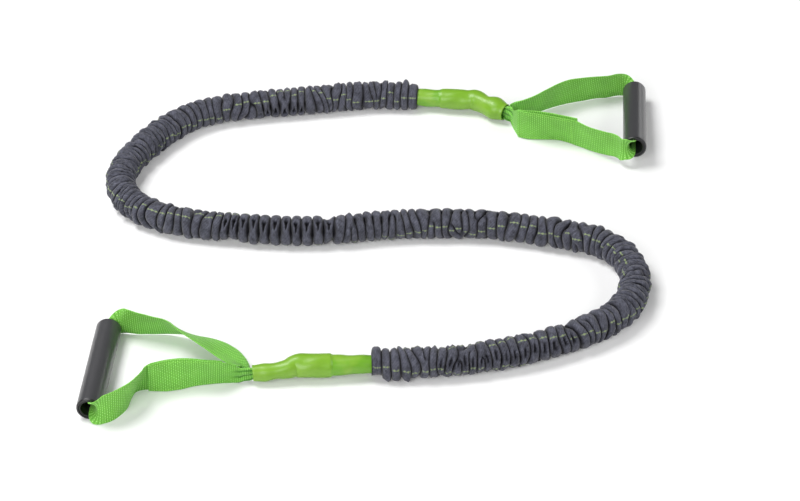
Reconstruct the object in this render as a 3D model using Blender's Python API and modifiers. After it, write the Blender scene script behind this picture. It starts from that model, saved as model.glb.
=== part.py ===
"""Resistance tube: an elastic tube in a gathered fabric sleeve, lying in an S on the floor.

Each end of the tube is held on a plug under a dipped rubber boot. A webbing loop leaves each
boot's mouth and carries a tube handle. Metres, +Z up, the floor at z = 0, +Y away from the
viewer, and the origin on the floor under the middle of the two ends, straps and handles.
"""

import math

import bmesh
import bpy
import numpy as np
from mathutils import Matrix, Vector

MM = 0.001
UP = Vector((0.0, 0.0, 1.0))

# Clearance between neighbouring pieces, and under what lies on the floor
GAP = 0.3 * MM
FLOOR_GAP = 0.1 * MM

# Where the layout's own zero lies in the part's frame
LAYOUT_SHIFT = Vector((18.42 * MM, -4.08 * MM, 0.0))

# Elastic tube
TUBE_RADIUS = 6.0 * MM
TUBE_BORE_RADIUS = 3.2 * MM
TUBE_SIDES = 8
ROUTE_STEP = 18.0 * MM

# Gathered sleeve
FOLD_COUNT = 140
FOLD_CREST_RADIUS = 15.0 * MM
FOLD_DEPTH = 3.4 * MM
END_SLIMMING = 1.0 * MM
END_SLIM_RUN = 40.0 * MM
SLEEVE_SLACK = 0.45 * MM
RESTING_FLAT = 0.5 * MM
SLEEVE_SIDES = 8
SLEEVE_OVER_BOOT = 16.0 * MM
SLEEVE_MOUTH_RUN = 4.0 * MM

# Dipped boots: the wall, and the stretch that goes up into the sleeve
BOOT_WALL = 1.6 * MM
BOOT_TAIL_WALL = 1.2 * MM
BOOT_SIDES = 12
BOOT_STEP = 4.0 * MM

# Plug, clamp ring and cross pin in each boot
SPIGOT_LENGTH = 22.0 * MM
BARB_COUNT = 3
BARB_DEPTH = 0.5 * MM
SHOULDER_RADIUS = 6.6 * MM
SHOULDER_LENGTH = 3.0 * MM
RING_LENGTH = 14.0 * MM
RING_SETBACK = 4.0 * MM
PIN_RADIUS = 1.8 * MM
PIN_SETBACK = 9.0 * MM
FORK_ARM_THICKNESS = 1.5 * MM
FORK_ARM_WIDTH = 6.4 * MM
FORK_ARM_NOSE = 3.4 * MM
TURNED_STEPS = 20

# Webbing
WEBBING_WIDTH = 35.0 * MM
WEBBING_THICKNESS = 1.6 * MM
OVERLAP_THICKNESS = 3.4 * MM
TAIL_HEIGHT = 10.0 * MM
NOSE_RADIUS = 5.5 * MM
NOSE_GAP = 0.5 * MM
PIVOT_REACH = 6.5 * MM
RIBBON_CELLS = 8

# Handles: a core tube in a grip
HANDLE_LENGTH = 124.0 * MM
GRIP_RADIUS = 12.1 * MM
GRIP_WALL = 2.0 * MM
GRIP_EDGE = 1.2 * MM
CORE_WALL = 1.6 * MM
CORE_SETBACK = 0.5 * MM
GRIP_STEPS = 32

# The sleeve's route on the floor, from the near left boot to the far right one, in mm
ROUTE_MM = [
    (-27, -201), (3, -199.8), (15, -199.3), (50, -196.5), (81, -190), (114, -181), (149, -167),
    (175, -153), (197, -137), (216, -116), (227, -92), (230, -66), (226, -42), (214, -20),
    (196, -4), (172, 5), (142, 13), (112, 20), (80, 25), (46, 26), (12, 25.5), (-22, 22.5),
    (-56, 16.5), (-90, 13.5), (-125, 14.5), (-160, 18.5), (-194, 23), (-226, 31), (-252, 44),
    (-271, 61), (-283, 84), (-286, 109), (-280, 135), (-266, 164), (-246, 194), (-222, 219),
    (-196, 233), (-160, 242), (-124, 248), (-87, 254), (-50, 259.5), (-26, 262.4),
    (-9, 262.8), (5, 261.4), (19, 260),
]

# Boots: the axis on the floor plan and its height past the straight run, in mm, and the
# outer radius at each distance from the sleeve's end, in mm
LEFT_BOOT_AXIS_MM = [(-106, -207.3, 12.9), (-122, -209.4, 11.3), (-138, -211, 10.5)]
LEFT_BOOT_RADII_MM = [
    (0.6, 8.6), (14, 9.0), (27, 9.7), (36, 9.9), (39, 11.3), (52, 11.7), (66, 11.5), (76, 9.8),
    (84, 8.5), (91, 8.0), (101, 8.5), (108, 7.9), (111, 7.7),
]
RIGHT_BOOT_AXIS_MM = [(92, 245, 13.0), (102, 239, 12.6), (111, 233, 12.2)]
RIGHT_BOOT_RADII_MM = [
    (0.6, 9.1), (14, 9.2), (23, 9.4), (26, 10.5), (38, 10.8), (48, 10.5), (54, 10.2), (61, 11.2),
    (70, 10.5), (76, 9.9), (82, 11.2), (87, 12.0), (92, 11.2), (97, 9.1),
]

# Webbing between boot and handle: x, y and z of its middle in mm, its height in mm where the
# webbing is as wide as it was laid out for, its lean in degrees to the right of its heading,
# and whether two layers lie there
LAID_OUT_WIDTH_MM = 35.0
LEFT_LOWER_MM = [
    (-153, -212.6, 10.4, 11.6, 0, 1), (-162, -212.3, 11.0, 18, 0, 2), (-172, -211, 11.8, 23, 0, 2),
    (-183, -213, 13.6, 27, 0, 2), (-195, -217, 16.0, 32, 0, 2), (-207, -222, 17.6, 35, 0, 2),
    (-220, -225, 17.7, 35, 0, 2), (-235, -225, 17.5, 35, -7, 1), (-245, -230, 16.6, 35, -20, 1),
    (-250.5, -241, 16.8, 35, -18, 1), (-256, -254, 17.2, 35, -8, 1),
    (-264.5, -264.5, 17.0, 35, 0, 1),
]
LEFT_UPPER_MM = [
    (-259, -141.3, 17.0, 35, 8, 1), (-246, -143.2, 16.6, 35, 19, 1), (-230, -146, 16.1, 35, 28, 1),
    (-217, -150.5, 15.2, 35, 40, 1), (-207, -155.5, 14.0, 35, 50, 1),
    (-197, -161.7, 12.8, 35, 62, 1), (-185, -169, 12.0, 33, 74, 1),
    (-174, -177, 11.5, 29, 78, 1), (-164, -186, 11.2, 24, 66, 1), (-154, -198, 10.8, 16, 36, 1),
    (-149.5, -206.5, 10.4, 11.4, 6, 1),
]
RIGHT_LOWER_MM = [
    (120.5, 221.0, 12.0, 10.4, 0, 1), (124.5, 211.5, 14.8, 26, 0, 2), (132, 204.5, 17.4, 34, 0, 2),
    (148, 200.5, 17.7, 35, 4, 2), (166, 198.5, 17.7, 35, 8, 2), (183, 191.5, 17.7, 35, 6, 2),
    (190, 187, 17.7, 35, 5, 1), (203, 177, 18.2, 35, 3, 1), (215, 166.5, 19.4, 35, 0, 1),
    (224, 157.5, 21.2, 35, 0, 1),
]
RIGHT_UPPER_MM = [
    (228, 278.4, 17.4, 35, -8, 1), (212, 275.2, 17.5, 35, -11, 1), (195, 271, 17.6, 35, -9, 1),
    (178, 265, 17.6, 35, -9, 1), (164, 258.5, 17.2, 34, -12, 1), (151, 251.5, 16.4, 31, -14, 1),
    (139, 244.5, 15.0, 26, -10, 1), (130, 237.5, 12.8, 14.5, -5, 1), (122.5, 231.3, 12.1, 10.4, 0, 1),
]

# Handles: the middle on the floor plan in mm, the heading of the axis away from the viewer,
# and how far the near end is lifted by the webbing in its bore
LEFT_HANDLE_MM = (-283.5, -205.2)
LEFT_HANDLE_HEADING = math.radians(85.9)
LEFT_HANDLE_LIFT = 0.0
RIGHT_HANDLE_MM = (247.2, 212.5)
RIGHT_HANDLE_HEADING = math.radians(86.4)
RIGHT_HANDLE_LIFT = 10.4 * MM

# How much of its full curl the webbing has: before a rim, and round it into the bore
APPROACH_CURL_SHARE = (0.06, 0.2)
WRAP_CURL_SHARE = (0.38, 0.56, 0.77, 0.92, 1.0, 1.0)
FAR_RIM_SLACK = (2.6 * MM, 1.7 * MM, 1.4 * MM, 1.0 * MM, 0.0, 0.0)

# How far the webbing clears the rim on its way round it, sideways and beyond the end face
RIM_CLEAR_ASIDE = (0.3 * MM, 1.2 * MM, -1.0 * MM, -0.5 * MM)
RIM_CLEAR_BEYOND = (0.2 * MM, 1.1 * MM, 1.0 * MM, 0.1 * MM)
RIM_CLEAR_INSIDE = 0.4 * MM
STRAIGHT_IN_BORE = 8.0 * MM


def layout(x_mm, y_mm, z=0.0):
    """A point of the floor plan, given in mm, in the part's frame."""
    return Vector((x_mm * MM, y_mm * MM, z)) + LAYOUT_SHIFT


def level(direction):
    return Vector((direction[0], direction[1], 0.0)).normalized()


def layout3(point_mm):
    return layout(point_mm[0], point_mm[1], point_mm[2] * MM)


def clear_radius(radius, sides):
    """The corner radius of a bore with that many sides that clears a round piece."""
    return (radius + GAP) / math.cos(math.pi / sides)


def flat_radius(radius, sides):
    """The radius of the circle inside a polygon of that corner radius."""
    return radius * math.cos(math.pi / sides)


def smooth_line(points, step):
    """Points about a step apart on one smooth curve through the given points."""
    p = np.array([tuple(q) for q in points], float)
    p = np.vstack([2 * p[0] - p[1], p, 2 * p[-1] - p[-2]])
    knots = np.concatenate([[0], np.cumsum(np.linalg.norm(np.diff(p, axis=0), axis=1) ** 0.5)])
    fine = []
    for i in range(1, len(p) - 2):
        t0, t1, t2, t3 = knots[i - 1 : i + 3]
        for t in np.linspace(t1, t2, 24, endpoint=False):
            a1 = (t1 - t) / (t1 - t0) * p[i - 1] + (t - t0) / (t1 - t0) * p[i]
            a2 = (t2 - t) / (t2 - t1) * p[i] + (t - t1) / (t2 - t1) * p[i + 1]
            a3 = (t3 - t) / (t3 - t2) * p[i + 1] + (t - t2) / (t3 - t2) * p[i + 2]
            b1 = (t2 - t) / (t2 - t0) * a1 + (t - t0) / (t2 - t0) * a2
            b2 = (t3 - t) / (t3 - t1) * a2 + (t - t1) / (t3 - t1) * a3
            fine.append((t2 - t) / (t2 - t1) * b1 + (t - t1) / (t2 - t1) * b2)
    fine = np.array(fine + [p[-2]])
    return resample(fine, step)


def lengths_along(line):
    return np.concatenate([[0], np.cumsum(np.linalg.norm(np.diff(line, axis=0), axis=1))])


def resample(line, step):
    along = lengths_along(line)
    count = max(2, round(along[-1] / step) + 1)
    return points_at(line, np.linspace(0, along[-1], count))


def points_at(line, distances):
    along = lengths_along(line)
    return np.stack([np.interp(distances, along, line[:, k]) for k in range(3)], axis=1)


def start_scene():
    for obj in list(bpy.data.objects):
        bpy.data.objects.remove(obj, do_unlink=True)
    parts = bpy.data.collections.new("resistance_tube")
    cutters = bpy.data.collections.new("cutters")
    for collection in (parts, cutters):
        bpy.context.scene.collection.children.link(collection)
    cutters.hide_render = True
    return parts, cutters


PARTS, CUTTERS = start_scene()


def material(name, colour, roughness):
    mat = bpy.data.materials.new(name)
    mat.use_nodes = True
    shader = mat.node_tree.nodes["Principled BSDF"]
    shader.inputs["Base Color"].default_value = (*colour, 1.0)
    shader.inputs["Roughness"].default_value = roughness
    return mat


def metal(name, colour, roughness):
    mat = material(name, colour, roughness)
    mat.node_tree.nodes["Principled BSDF"].inputs["Metallic"].default_value = 1.0
    return mat


SLEEVE_CLOTH = material("sleeve_cloth", (0.075, 0.075, 0.095), 0.85)
LATEX = material("latex", (0.62, 0.52, 0.30), 0.45)
BOOT_RUBBER = material("boot_rubber", (0.32, 0.62, 0.05), 0.28)
WEBBING = material("webbing", (0.12, 0.52, 0.08), 0.75)
GRIP_PLASTIC = material("grip_plastic", (0.055, 0.055, 0.06), 0.38)
CORE_PLASTIC = material("core_plastic", (0.03, 0.03, 0.035), 0.45)
PLUG_NYLON = material("plug_nylon", (0.75, 0.74, 0.70), 0.40)
RING_METAL = metal("ring_metal", (0.62, 0.62, 0.62), 0.35)
PIN_STEEL = metal("pin_steel", (0.58, 0.58, 0.60), 0.28)


def empty(name, matrix, parent=None):
    obj = bpy.data.objects.new(name, None)
    PARTS.objects.link(obj)
    obj.empty_display_size = 0.01
    hang(obj, matrix, parent)
    return obj


def hang(obj, matrix, parent):
    """Gives an object its place in the world, under a parent that keeps it there."""
    obj.parent = parent
    obj.matrix_parent_inverse = Matrix.Identity(4)
    obj.matrix_basis = (WORLD_OF[parent.name].inverted() @ matrix) if parent else matrix.copy()
    WORLD_OF[obj.name] = matrix.copy()


WORLD_OF = {}


def frame_at(origin, out):
    """A frame whose Z is the way out of the boot and whose X is up."""
    side = out.cross(UP).normalized()
    matrix = Matrix((UP, side, out)).transposed().to_4x4()
    matrix.translation = origin
    return matrix


def as_node(obj, mat, parent, collection=None):
    (collection or PARTS).objects.link(obj)
    obj.data.materials.clear()
    obj.data.materials.append(mat)
    if obj.type == "MESH":
        obj.data.shade_smooth()
        obj.data.set_sharp_from_angle(angle=math.radians(35))
    hang(obj, WORLD_OF[obj.name] if obj.name in WORLD_OF else Matrix.Identity(4), parent)
    return obj


def as_cutter(obj):
    CUTTERS.objects.link(obj)
    obj.display_type = "WIRE"
    obj.hide_render = True
    obj.hide_viewport = False
    return obj


def combine(target, tool, operation):
    modifier = target.modifiers.new(operation.lower(), "BOOLEAN")
    modifier.operation = operation
    modifier.solver = "EXACT"
    modifier.object = tool


def tube_mesh(name, points, radii, sides):
    """A tube of changing radius along the points, as a closed mesh with welded caps."""
    curve = bpy.data.curves.new(name + "_line", "CURVE")
    curve.dimensions = "3D"
    curve.bevel_depth = MM
    curve.bevel_resolution = sides // 2 - 2
    curve.use_fill_caps = True
    spline = curve.splines.new("POLY")
    spline.points.add(len(points) - 1)
    for slot, point, radius in zip(spline.points, points, radii, strict=True):
        slot.co = (*point, 1.0)
        slot.radius = radius / MM
    holder = bpy.data.objects.new(name + "_line", curve)
    bpy.context.scene.collection.objects.link(holder)
    evaluated = holder.evaluated_get(bpy.context.evaluated_depsgraph_get())
    mesh = bpy.data.meshes.new_from_object(evaluated)
    bpy.data.objects.remove(holder, do_unlink=True)
    bpy.data.curves.remove(curve)
    return closed_mesh(name, mesh)


def closed_mesh(name, mesh):
    mesh.name = name
    shape = bmesh.new()
    shape.from_mesh(mesh)
    bmesh.ops.remove_doubles(shape, verts=shape.verts, dist=0.0001 * MM)
    bmesh.ops.recalc_face_normals(shape, faces=shape.faces)
    shape.to_mesh(mesh)
    shape.free()
    return bpy.data.objects.new(name, mesh)


def place(obj, matrix):
    """Moves an object's origin to a frame without moving its surface."""
    obj.data.transform(matrix.inverted())
    WORLD_OF[obj.name] = matrix.copy()
    obj.matrix_world = matrix
    return obj


def turned(name, profile, steps=TURNED_STEPS):
    """A shape turned about its own Z from (radius, height) points, given from the top down."""
    mesh = bpy.data.meshes.new(name)
    closed = profile[0][0] > 0
    edges = [(i, i + 1) for i in range(len(profile) - 1)]
    if closed:
        edges.append((len(profile) - 1, 0))
    mesh.from_pydata([(r, 0.0, z) for r, z in profile], edges, [])
    obj = bpy.data.objects.new(name, mesh)
    screw = obj.modifiers.new("turn", "SCREW")
    screw.axis = "Z"
    screw.steps = steps
    screw.render_steps = steps
    screw.use_merge_vertices = True
    screw.merge_threshold = 0.00001
    screw.use_normal_calculate = False
    return obj


def box(name, size, centre):
    shape = bmesh.new()
    bmesh.ops.create_cube(shape, size=1.0)
    bmesh.ops.scale(shape, vec=Vector(size), verts=shape.verts)
    bmesh.ops.translate(shape, vec=Vector(centre), verts=shape.verts)
    mesh = bpy.data.meshes.new(name)
    shape.to_mesh(mesh)
    shape.free()
    return bpy.data.objects.new(name, mesh)


def cylinder(name, radius, length, steps):
    """A cylinder about its own X."""
    shape = bmesh.new()
    bmesh.ops.create_cone(
        shape, cap_ends=True, segments=steps, radius1=radius, radius2=radius, depth=length,
        matrix=Matrix.Rotation(math.pi / 2, 4, "Y"),
    )
    mesh = bpy.data.meshes.new(name)
    shape.to_mesh(mesh)
    shape.free()
    return bpy.data.objects.new(name, mesh)


def ribbon(name, stations, curl_side, origin, cells):
    """A webbing strip lofted through (middle, height, thickness, lean, curl) stations.

    The strip stands across its path. Its lean turns it about the path, and its curl bends its
    two edges out of its plane into an arc, to the left of the path where curl_side is 1.
    """
    middles = [s[0] for s in stations]
    verts, rings = [], []
    for i, (middle, height, thickness, lean, curl) in enumerate(stations):
        before, after = middles[max(i - 1, 0)], middles[min(i + 1, len(middles) - 1)]
        along = after - before
        along.z = 0.0
        along.normalize()
        across = UP * math.cos(lean) + along.cross(UP) * math.sin(lean)
        out = across.cross(along) * curl_side
        bend = max(curl, 0.02)
        radius = height / bend
        ring = []
        for face in (0.5, -0.5):
            marks = range(cells + 1)
            for j in marks if face > 0 else reversed(marks):
                angle = (j / cells - 0.5) * bend
                reach = radius + face * thickness
                point = middle + across * reach * math.sin(angle)
                point = point + out * (radius - reach * math.cos(angle))
                ring.append(len(verts))
                verts.append(point - origin)
        rings.append(ring)
    faces = [tuple(rings[0]), tuple(reversed(rings[-1]))]
    for a, b in zip(rings, rings[1:]):
        for k in range(len(a)):
            faces.append((a[k - 1], a[k], b[k], b[k - 1]))
    mesh = bpy.data.meshes.new(name)
    mesh.from_pydata(verts, [], faces)
    obj = closed_mesh(name, mesh)
    WORLD_OF[obj.name] = Matrix.Translation(origin)
    return obj


# Sleeve and elastic tube

route = smooth_line([layout(x, y) for x, y in ROUTE_MM], ROUTE_STEP)
sleeve_length = lengths_along(route)[-1]


def crest_radius(mark):
    """The folds' radius that far along the sleeve: a little slimmer over its two ends."""
    inside = min(mark, sleeve_length - mark)
    share = min(max((END_SLIM_RUN - inside) / (END_SLIM_RUN - SLEEVE_OVER_BOOT), 0.0), 1.0)
    return FOLD_CREST_RADIUS - END_SLIMMING * share


route[:, 2] = [crest_radius(mark) - RESTING_FLAT for mark in lengths_along(route)]
LEFT_OUT = level(route[0] - route[1])
RIGHT_OUT = level(route[-1] - route[-2])
LEFT_START = Vector(route[0])
RIGHT_START = Vector(route[-1])
LEFT_TUBE_END = 60.0 * MM
RIGHT_TUBE_END = 50.0 * MM

boot_tail_bore = clear_radius(TUBE_RADIUS, BOOT_SIDES)
boot_tail_radius = boot_tail_bore + BOOT_TAIL_WALL
sleeve_bore = clear_radius(TUBE_RADIUS, SLEEVE_SIDES) + SLEEVE_SLACK
sleeve_mouth = clear_radius(boot_tail_radius, SLEEVE_SIDES)


def make_sleeve():
    pitch = sleeve_length / FOLD_COUNT
    marks = np.concatenate([[0], (np.arange(2 * FOLD_COUNT - 1) + 1) * pitch / 2, [sleeve_length]])
    crest = np.arange(len(marks)) % 2 == 1
    crest[[0, -1]] = False
    radii = [crest_radius(m) - (0.0 if c else FOLD_DEPTH) for m, c in zip(marks, crest, strict=True)]
    sleeve = tube_mesh("gathered_sleeve", points_at(route, marks), radii, SLEEVE_SIDES)
    bore_marks = list(lengths_along(route))
    bore_line = [route[0] - (route[1] - route[0])] + list(route) + [2 * route[-1] - route[-2]]
    bore_marks = [-ROUTE_STEP] + bore_marks + [sleeve_length + ROUTE_STEP]
    wide = SLEEVE_OVER_BOOT + SLEEVE_MOUTH_RUN
    bore_radii = []
    for mark in bore_marks:
        inside = min(mark, sleeve_length - mark)
        bore_radii.append(sleeve_mouth if inside <= wide else sleeve_bore)
    bore = as_cutter(tube_mesh("sleeve_bore", bore_line, bore_radii, SLEEVE_SIDES))
    combine(sleeve, bore, "DIFFERENCE")
    reach = 4 * FOLD_CREST_RADIUS
    floor = box("floor_below", (1.0, 1.0, reach), (0, 0, -reach / 2))
    combine(sleeve, as_cutter(floor), "DIFFERENCE")
    return sleeve


def make_latex_tube():
    line = [LEFT_START + LEFT_OUT * LEFT_TUBE_END, *route]
    line.append(RIGHT_START + RIGHT_OUT * RIGHT_TUBE_END)
    tube = tube_mesh("latex_tube", line, [TUBE_RADIUS] * len(line), TUBE_SIDES)
    through = [LEFT_START + LEFT_OUT * (LEFT_TUBE_END + TUBE_RADIUS), *route]
    through.append(RIGHT_START + RIGHT_OUT * (RIGHT_TUBE_END + TUBE_RADIUS))
    bore = as_cutter(tube_mesh("tube_bore", through, [TUBE_BORE_RADIUS] * len(line), TUBE_SIDES))
    combine(tube, bore, "DIFFERENCE")
    return tube


as_node(make_sleeve(), SLEEVE_CLOTH, None)
as_node(make_latex_tube(), LATEX, None)


# Boots and the hardware in them


class End:
    """One end of the tube: the boot's axis and outline, and where its inner pieces stand."""

    def __init__(self, side, start, out, tube_end, axis_mm, radii_mm, parent):
        self.side, self.start, self.out, self.tube_end = side, start, out, tube_end
        self.parent = parent
        self.pin_at = tube_end + SHOULDER_LENGTH + PIN_SETBACK
        stops = (-SLEEVE_OVER_BOOT, 0.0, tube_end / 2, tube_end, self.pin_at)
        straight = [start + out * d for d in stops]
        bent = [layout3(p) for p in axis_mm]
        self.axis = smooth_line(straight + bent, BOOT_STEP / 4)
        self.length = lengths_along(self.axis)[-1] - SLEEVE_OVER_BOOT
        self.stations = [(s * MM, r * MM) for s, r in radii_mm]
        self.stations[-1] = (self.length, self.stations[-1][1])
        self.mouth = Vector(self.axis[-1])
        self.mouth_out = Vector(self.axis[-1] - self.axis[-3]).normalized()
        self.pivot = self.mouth + self.mouth_out * PIVOT_REACH
        self.hardware = frame_at(start, out)

    def axis_point(self, s):
        return Vector(points_at(self.axis, [s + SLEEVE_OVER_BOOT])[0])

    def heading(self, s):
        step = BOOT_STEP / 2
        return (self.axis_point(s + step) - self.axis_point(s - step)).normalized()

    def outer_radius(self, s):
        marks, radii = zip(*self.stations, strict=True)
        return float(np.interp(s, marks, radii))

    def inner_radius(self, s):
        return max(self.outer_radius(s) - BOOT_WALL, boot_tail_bore)


def make_boot(end):
    marks = [-SLEEVE_OVER_BOOT, 0.0] + [s for s, _ in end.stations]
    radii = [boot_tail_radius, boot_tail_radius] + [r for _, r in end.stations]
    points = [end.axis_point(s) for s in marks]
    boot = tube_mesh(end.side + "_end_boot", points, radii, BOOT_SIDES)
    inner_marks = [-2 * SLEEVE_OVER_BOOT, -SLEEVE_OVER_BOOT, 0.0] + [s for s, _ in end.stations]
    inner = [boot_tail_bore] * 3 + [end.inner_radius(s) for s, _ in end.stations]
    line = [end.start + end.out * s for s in inner_marks[:2]]
    line += [end.axis_point(s) for s in inner_marks[2:]]
    line.append(end.mouth + end.mouth_out * PIVOT_REACH)
    inner.append(inner[-1])
    cutter = as_cutter(tube_mesh(end.side + "_boot_bore", line, inner, BOOT_SIDES))
    combine(boot, cutter, "DIFFERENCE")
    return boot


def make_plug(end):
    """Barbed spigot, shoulder and fork, about the hardware line, with Z the way out."""
    tube_end = end.tube_end
    barb_radius = flat_radius(TUBE_BORE_RADIUS, TUBE_SIDES) - GAP
    low = tube_end - SPIGOT_LENGTH
    pitch = (SPIGOT_LENGTH - SHOULDER_LENGTH) / BARB_COUNT
    base = tube_end + GAP
    profile = [(0.0, base + SHOULDER_LENGTH), (SHOULDER_RADIUS, base + SHOULDER_LENGTH)]
    profile += [(SHOULDER_RADIUS, base), (barb_radius - BARB_DEPTH, base)]
    for i in range(BARB_COUNT):
        top = tube_end - SHOULDER_LENGTH - i * pitch
        profile += [(barb_radius - BARB_DEPTH, top), (barb_radius, top - pitch / 4)]
    profile += [(barb_radius - BARB_DEPTH, low), (0.0, low)]
    plug = turned(end.side + "_tube_plug", profile)
    arm_length = end.pin_at + FORK_ARM_NOSE - base - SHOULDER_LENGTH / 2
    arm_middle = base + SHOULDER_LENGTH / 2 + arm_length / 2
    arm_out = TAIL_HEIGHT / 2 + GAP + FORK_ARM_THICKNESS / 2
    for i, way in enumerate((1, -1)):
        size = (FORK_ARM_THICKNESS, FORK_ARM_WIDTH, arm_length)
        arm = box(f"{end.side}_fork_arm_{i}", size, (way * arm_out, 0, arm_middle))
        arm.matrix_world = end.hardware
        combine(plug, as_cutter(arm), "UNION")
    foot = box(
        end.side + "_fork_foot",
        (2 * arm_out + FORK_ARM_THICKNESS, FORK_ARM_WIDTH, SHOULDER_LENGTH),
        (0, 0, base + SHOULDER_LENGTH / 2),
    )
    foot.matrix_world = end.hardware
    combine(plug, as_cutter(foot), "UNION")
    hole = cylinder(end.side + "_pin_hole", PIN_RADIUS + GAP, 4 * arm_out, TURNED_STEPS)
    hole.matrix_world = end.hardware @ Matrix.Translation((0, 0, end.pin_at))
    combine(plug, as_cutter(hole), "DIFFERENCE")
    WORLD_OF[plug.name] = end.hardware
    return plug


def make_clamp_ring(end):
    top = end.tube_end - RING_SETBACK
    low = top - RING_LENGTH
    narrowest = min(end.inner_radius(s) for s in np.linspace(low, top, 9))
    outer = flat_radius(narrowest, BOOT_SIDES) - GAP
    inner = clear_radius(TUBE_RADIUS, TURNED_STEPS)
    edge = (outer - inner) / 4
    profile = [
        (inner, top), (outer - edge, top), (outer, top - edge), (outer, low + edge),
        (outer - edge, low), (inner, low),
    ]
    ring = turned(end.side + "_clamp_ring", profile)
    WORLD_OF[ring.name] = end.hardware
    return ring


def make_strap_pin(end):
    length = TAIL_HEIGHT + 2 * GAP + 2 * FORK_ARM_THICKNESS
    pin = cylinder(end.side + "_strap_pin", PIN_RADIUS, length, TURNED_STEPS)
    WORLD_OF[pin.name] = end.hardware @ Matrix.Translation((0, 0, end.pin_at))
    return pin


def make_strap_tail(end):
    """The webbing's folded tail: in at the mouth, round the pin, and out again."""
    round_pin = PIN_RADIUS + GAP + WEBBING_THICKNESS / 2
    at_mouth = (WEBBING_THICKNESS + NOSE_GAP) / 2
    last = end.length + GAP
    run = last - end.pin_at - round_pin
    leg = [(last - run * k / 5, at_mouth + (round_pin - at_mouth) * (k / 5) ** 2) for k in range(5)]
    turns = [math.radians(a) for a in range(60, 301, 24)]
    loop = [(end.pin_at + round_pin * math.cos(a), round_pin * math.sin(a)) for a in turns]
    plan = leg + loop + [(s, -side) for s, side in reversed(leg)]
    stations = []
    for s, side in plan:
        lateral = end.heading(min(s, end.length - BOOT_STEP)).cross(UP).normalized()
        middle = end.axis_point(s) + lateral * side
        if s > end.length:
            middle = middle + end.mouth_out * (s - end.length)
        stations.append((middle, TAIL_HEIGHT, WEBBING_THICKNESS, 0.0, 0.0))
    return ribbon(end.side + "_strap_tail", stations, 1, end.pivot, 1)


root = empty("root_frame", Matrix.Identity(4))
right_slide = empty("right_end_slide", frame_at(RIGHT_START, RIGHT_OUT))
LEFT = End("left", LEFT_START, LEFT_OUT, LEFT_TUBE_END, LEFT_BOOT_AXIS_MM, LEFT_BOOT_RADII_MM, root)
RIGHT = End(
    "right", RIGHT_START, RIGHT_OUT, RIGHT_TUBE_END, RIGHT_BOOT_AXIS_MM, RIGHT_BOOT_RADII_MM,
    right_slide,
)

for end in (LEFT, RIGHT):
    as_node(make_boot(end), BOOT_RUBBER, end.parent)
    as_node(make_plug(end), PLUG_NYLON, end.parent)
    as_node(make_clamp_ring(end), RING_METAL, end.parent)
    as_node(make_strap_pin(end), PIN_STEEL, end.parent)
    as_node(make_strap_tail(end), WEBBING, end.parent)


# Handles and the webbing through them

grip_bore = GRIP_RADIUS - GRIP_WALL
core_radius = flat_radius(grip_bore, GRIP_STEPS) - GAP
core_bore = core_radius - CORE_WALL
webbing_in_bore = flat_radius(core_bore, GRIP_STEPS) - GAP - WEBBING_THICKNESS / 2


class Handle:
    """A handle's place: its middle, its axis away from the viewer, and its boot's side."""

    def __init__(self, side, middle_mm, heading, lift):
        self.side = side
        run = math.sqrt(HANDLE_LENGTH**2 - lift**2)
        flat = Vector((math.cos(heading), math.sin(heading), 0.0))
        self.axis = ((flat * run) - UP * lift).normalized()
        self.middle = layout(*middle_mm, GRIP_RADIUS + lift / 2)
        self.near = self.middle - self.axis * HANDLE_LENGTH / 2
        self.far = self.middle + self.axis * HANDLE_LENGTH / 2
        across = self.axis.cross(UP).normalized()
        self.to_boot = across if side == "left" else -across
        frame = Matrix((self.to_boot, self.axis.cross(self.to_boot), self.axis)).transposed()
        self.matrix = frame.to_4x4()
        self.matrix.translation = self.middle


def make_grip(handle):
    half = HANDLE_LENGTH / 2
    bore, e = grip_bore, GRIP_EDGE
    cut = e * (1 - math.cos(math.pi / 4))
    profile = [
        (bore, half), (GRIP_RADIUS - e, half), (GRIP_RADIUS - cut, half - cut),
        (GRIP_RADIUS, half - e), (GRIP_RADIUS, e - half), (GRIP_RADIUS - cut, cut - half),
        (GRIP_RADIUS - e, -half), (bore, -half),
    ]
    grip = turned(handle.side + "_handle_grip", profile, GRIP_STEPS)
    WORLD_OF[grip.name] = handle.matrix
    return grip


def make_core(handle):
    half = HANDLE_LENGTH / 2 - CORE_SETBACK
    profile = [(core_bore, half), (core_radius, half), (core_radius, -half), (core_bore, -half)]
    core = turned(handle.side + "_handle_core", profile, GRIP_STEPS)
    WORLD_OF[core.name] = handle.matrix
    return core


def standing(middle, height, thickness, lean, curl):
    """The station's middle, lifted where the webbing would reach below the floor."""
    bend = max(curl, 0.02)
    half = (height / bend + thickness / 2) * math.sin(min(bend, math.pi) / 2)
    sunk = height / bend * (1 - math.cos(bend / 2)) + thickness / 2
    lowest = half * abs(math.cos(lean)) + sunk * abs(math.sin(lean)) + FLOOR_GAP
    return Vector((middle.x, middle.y, max(middle.z, lowest)))


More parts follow.
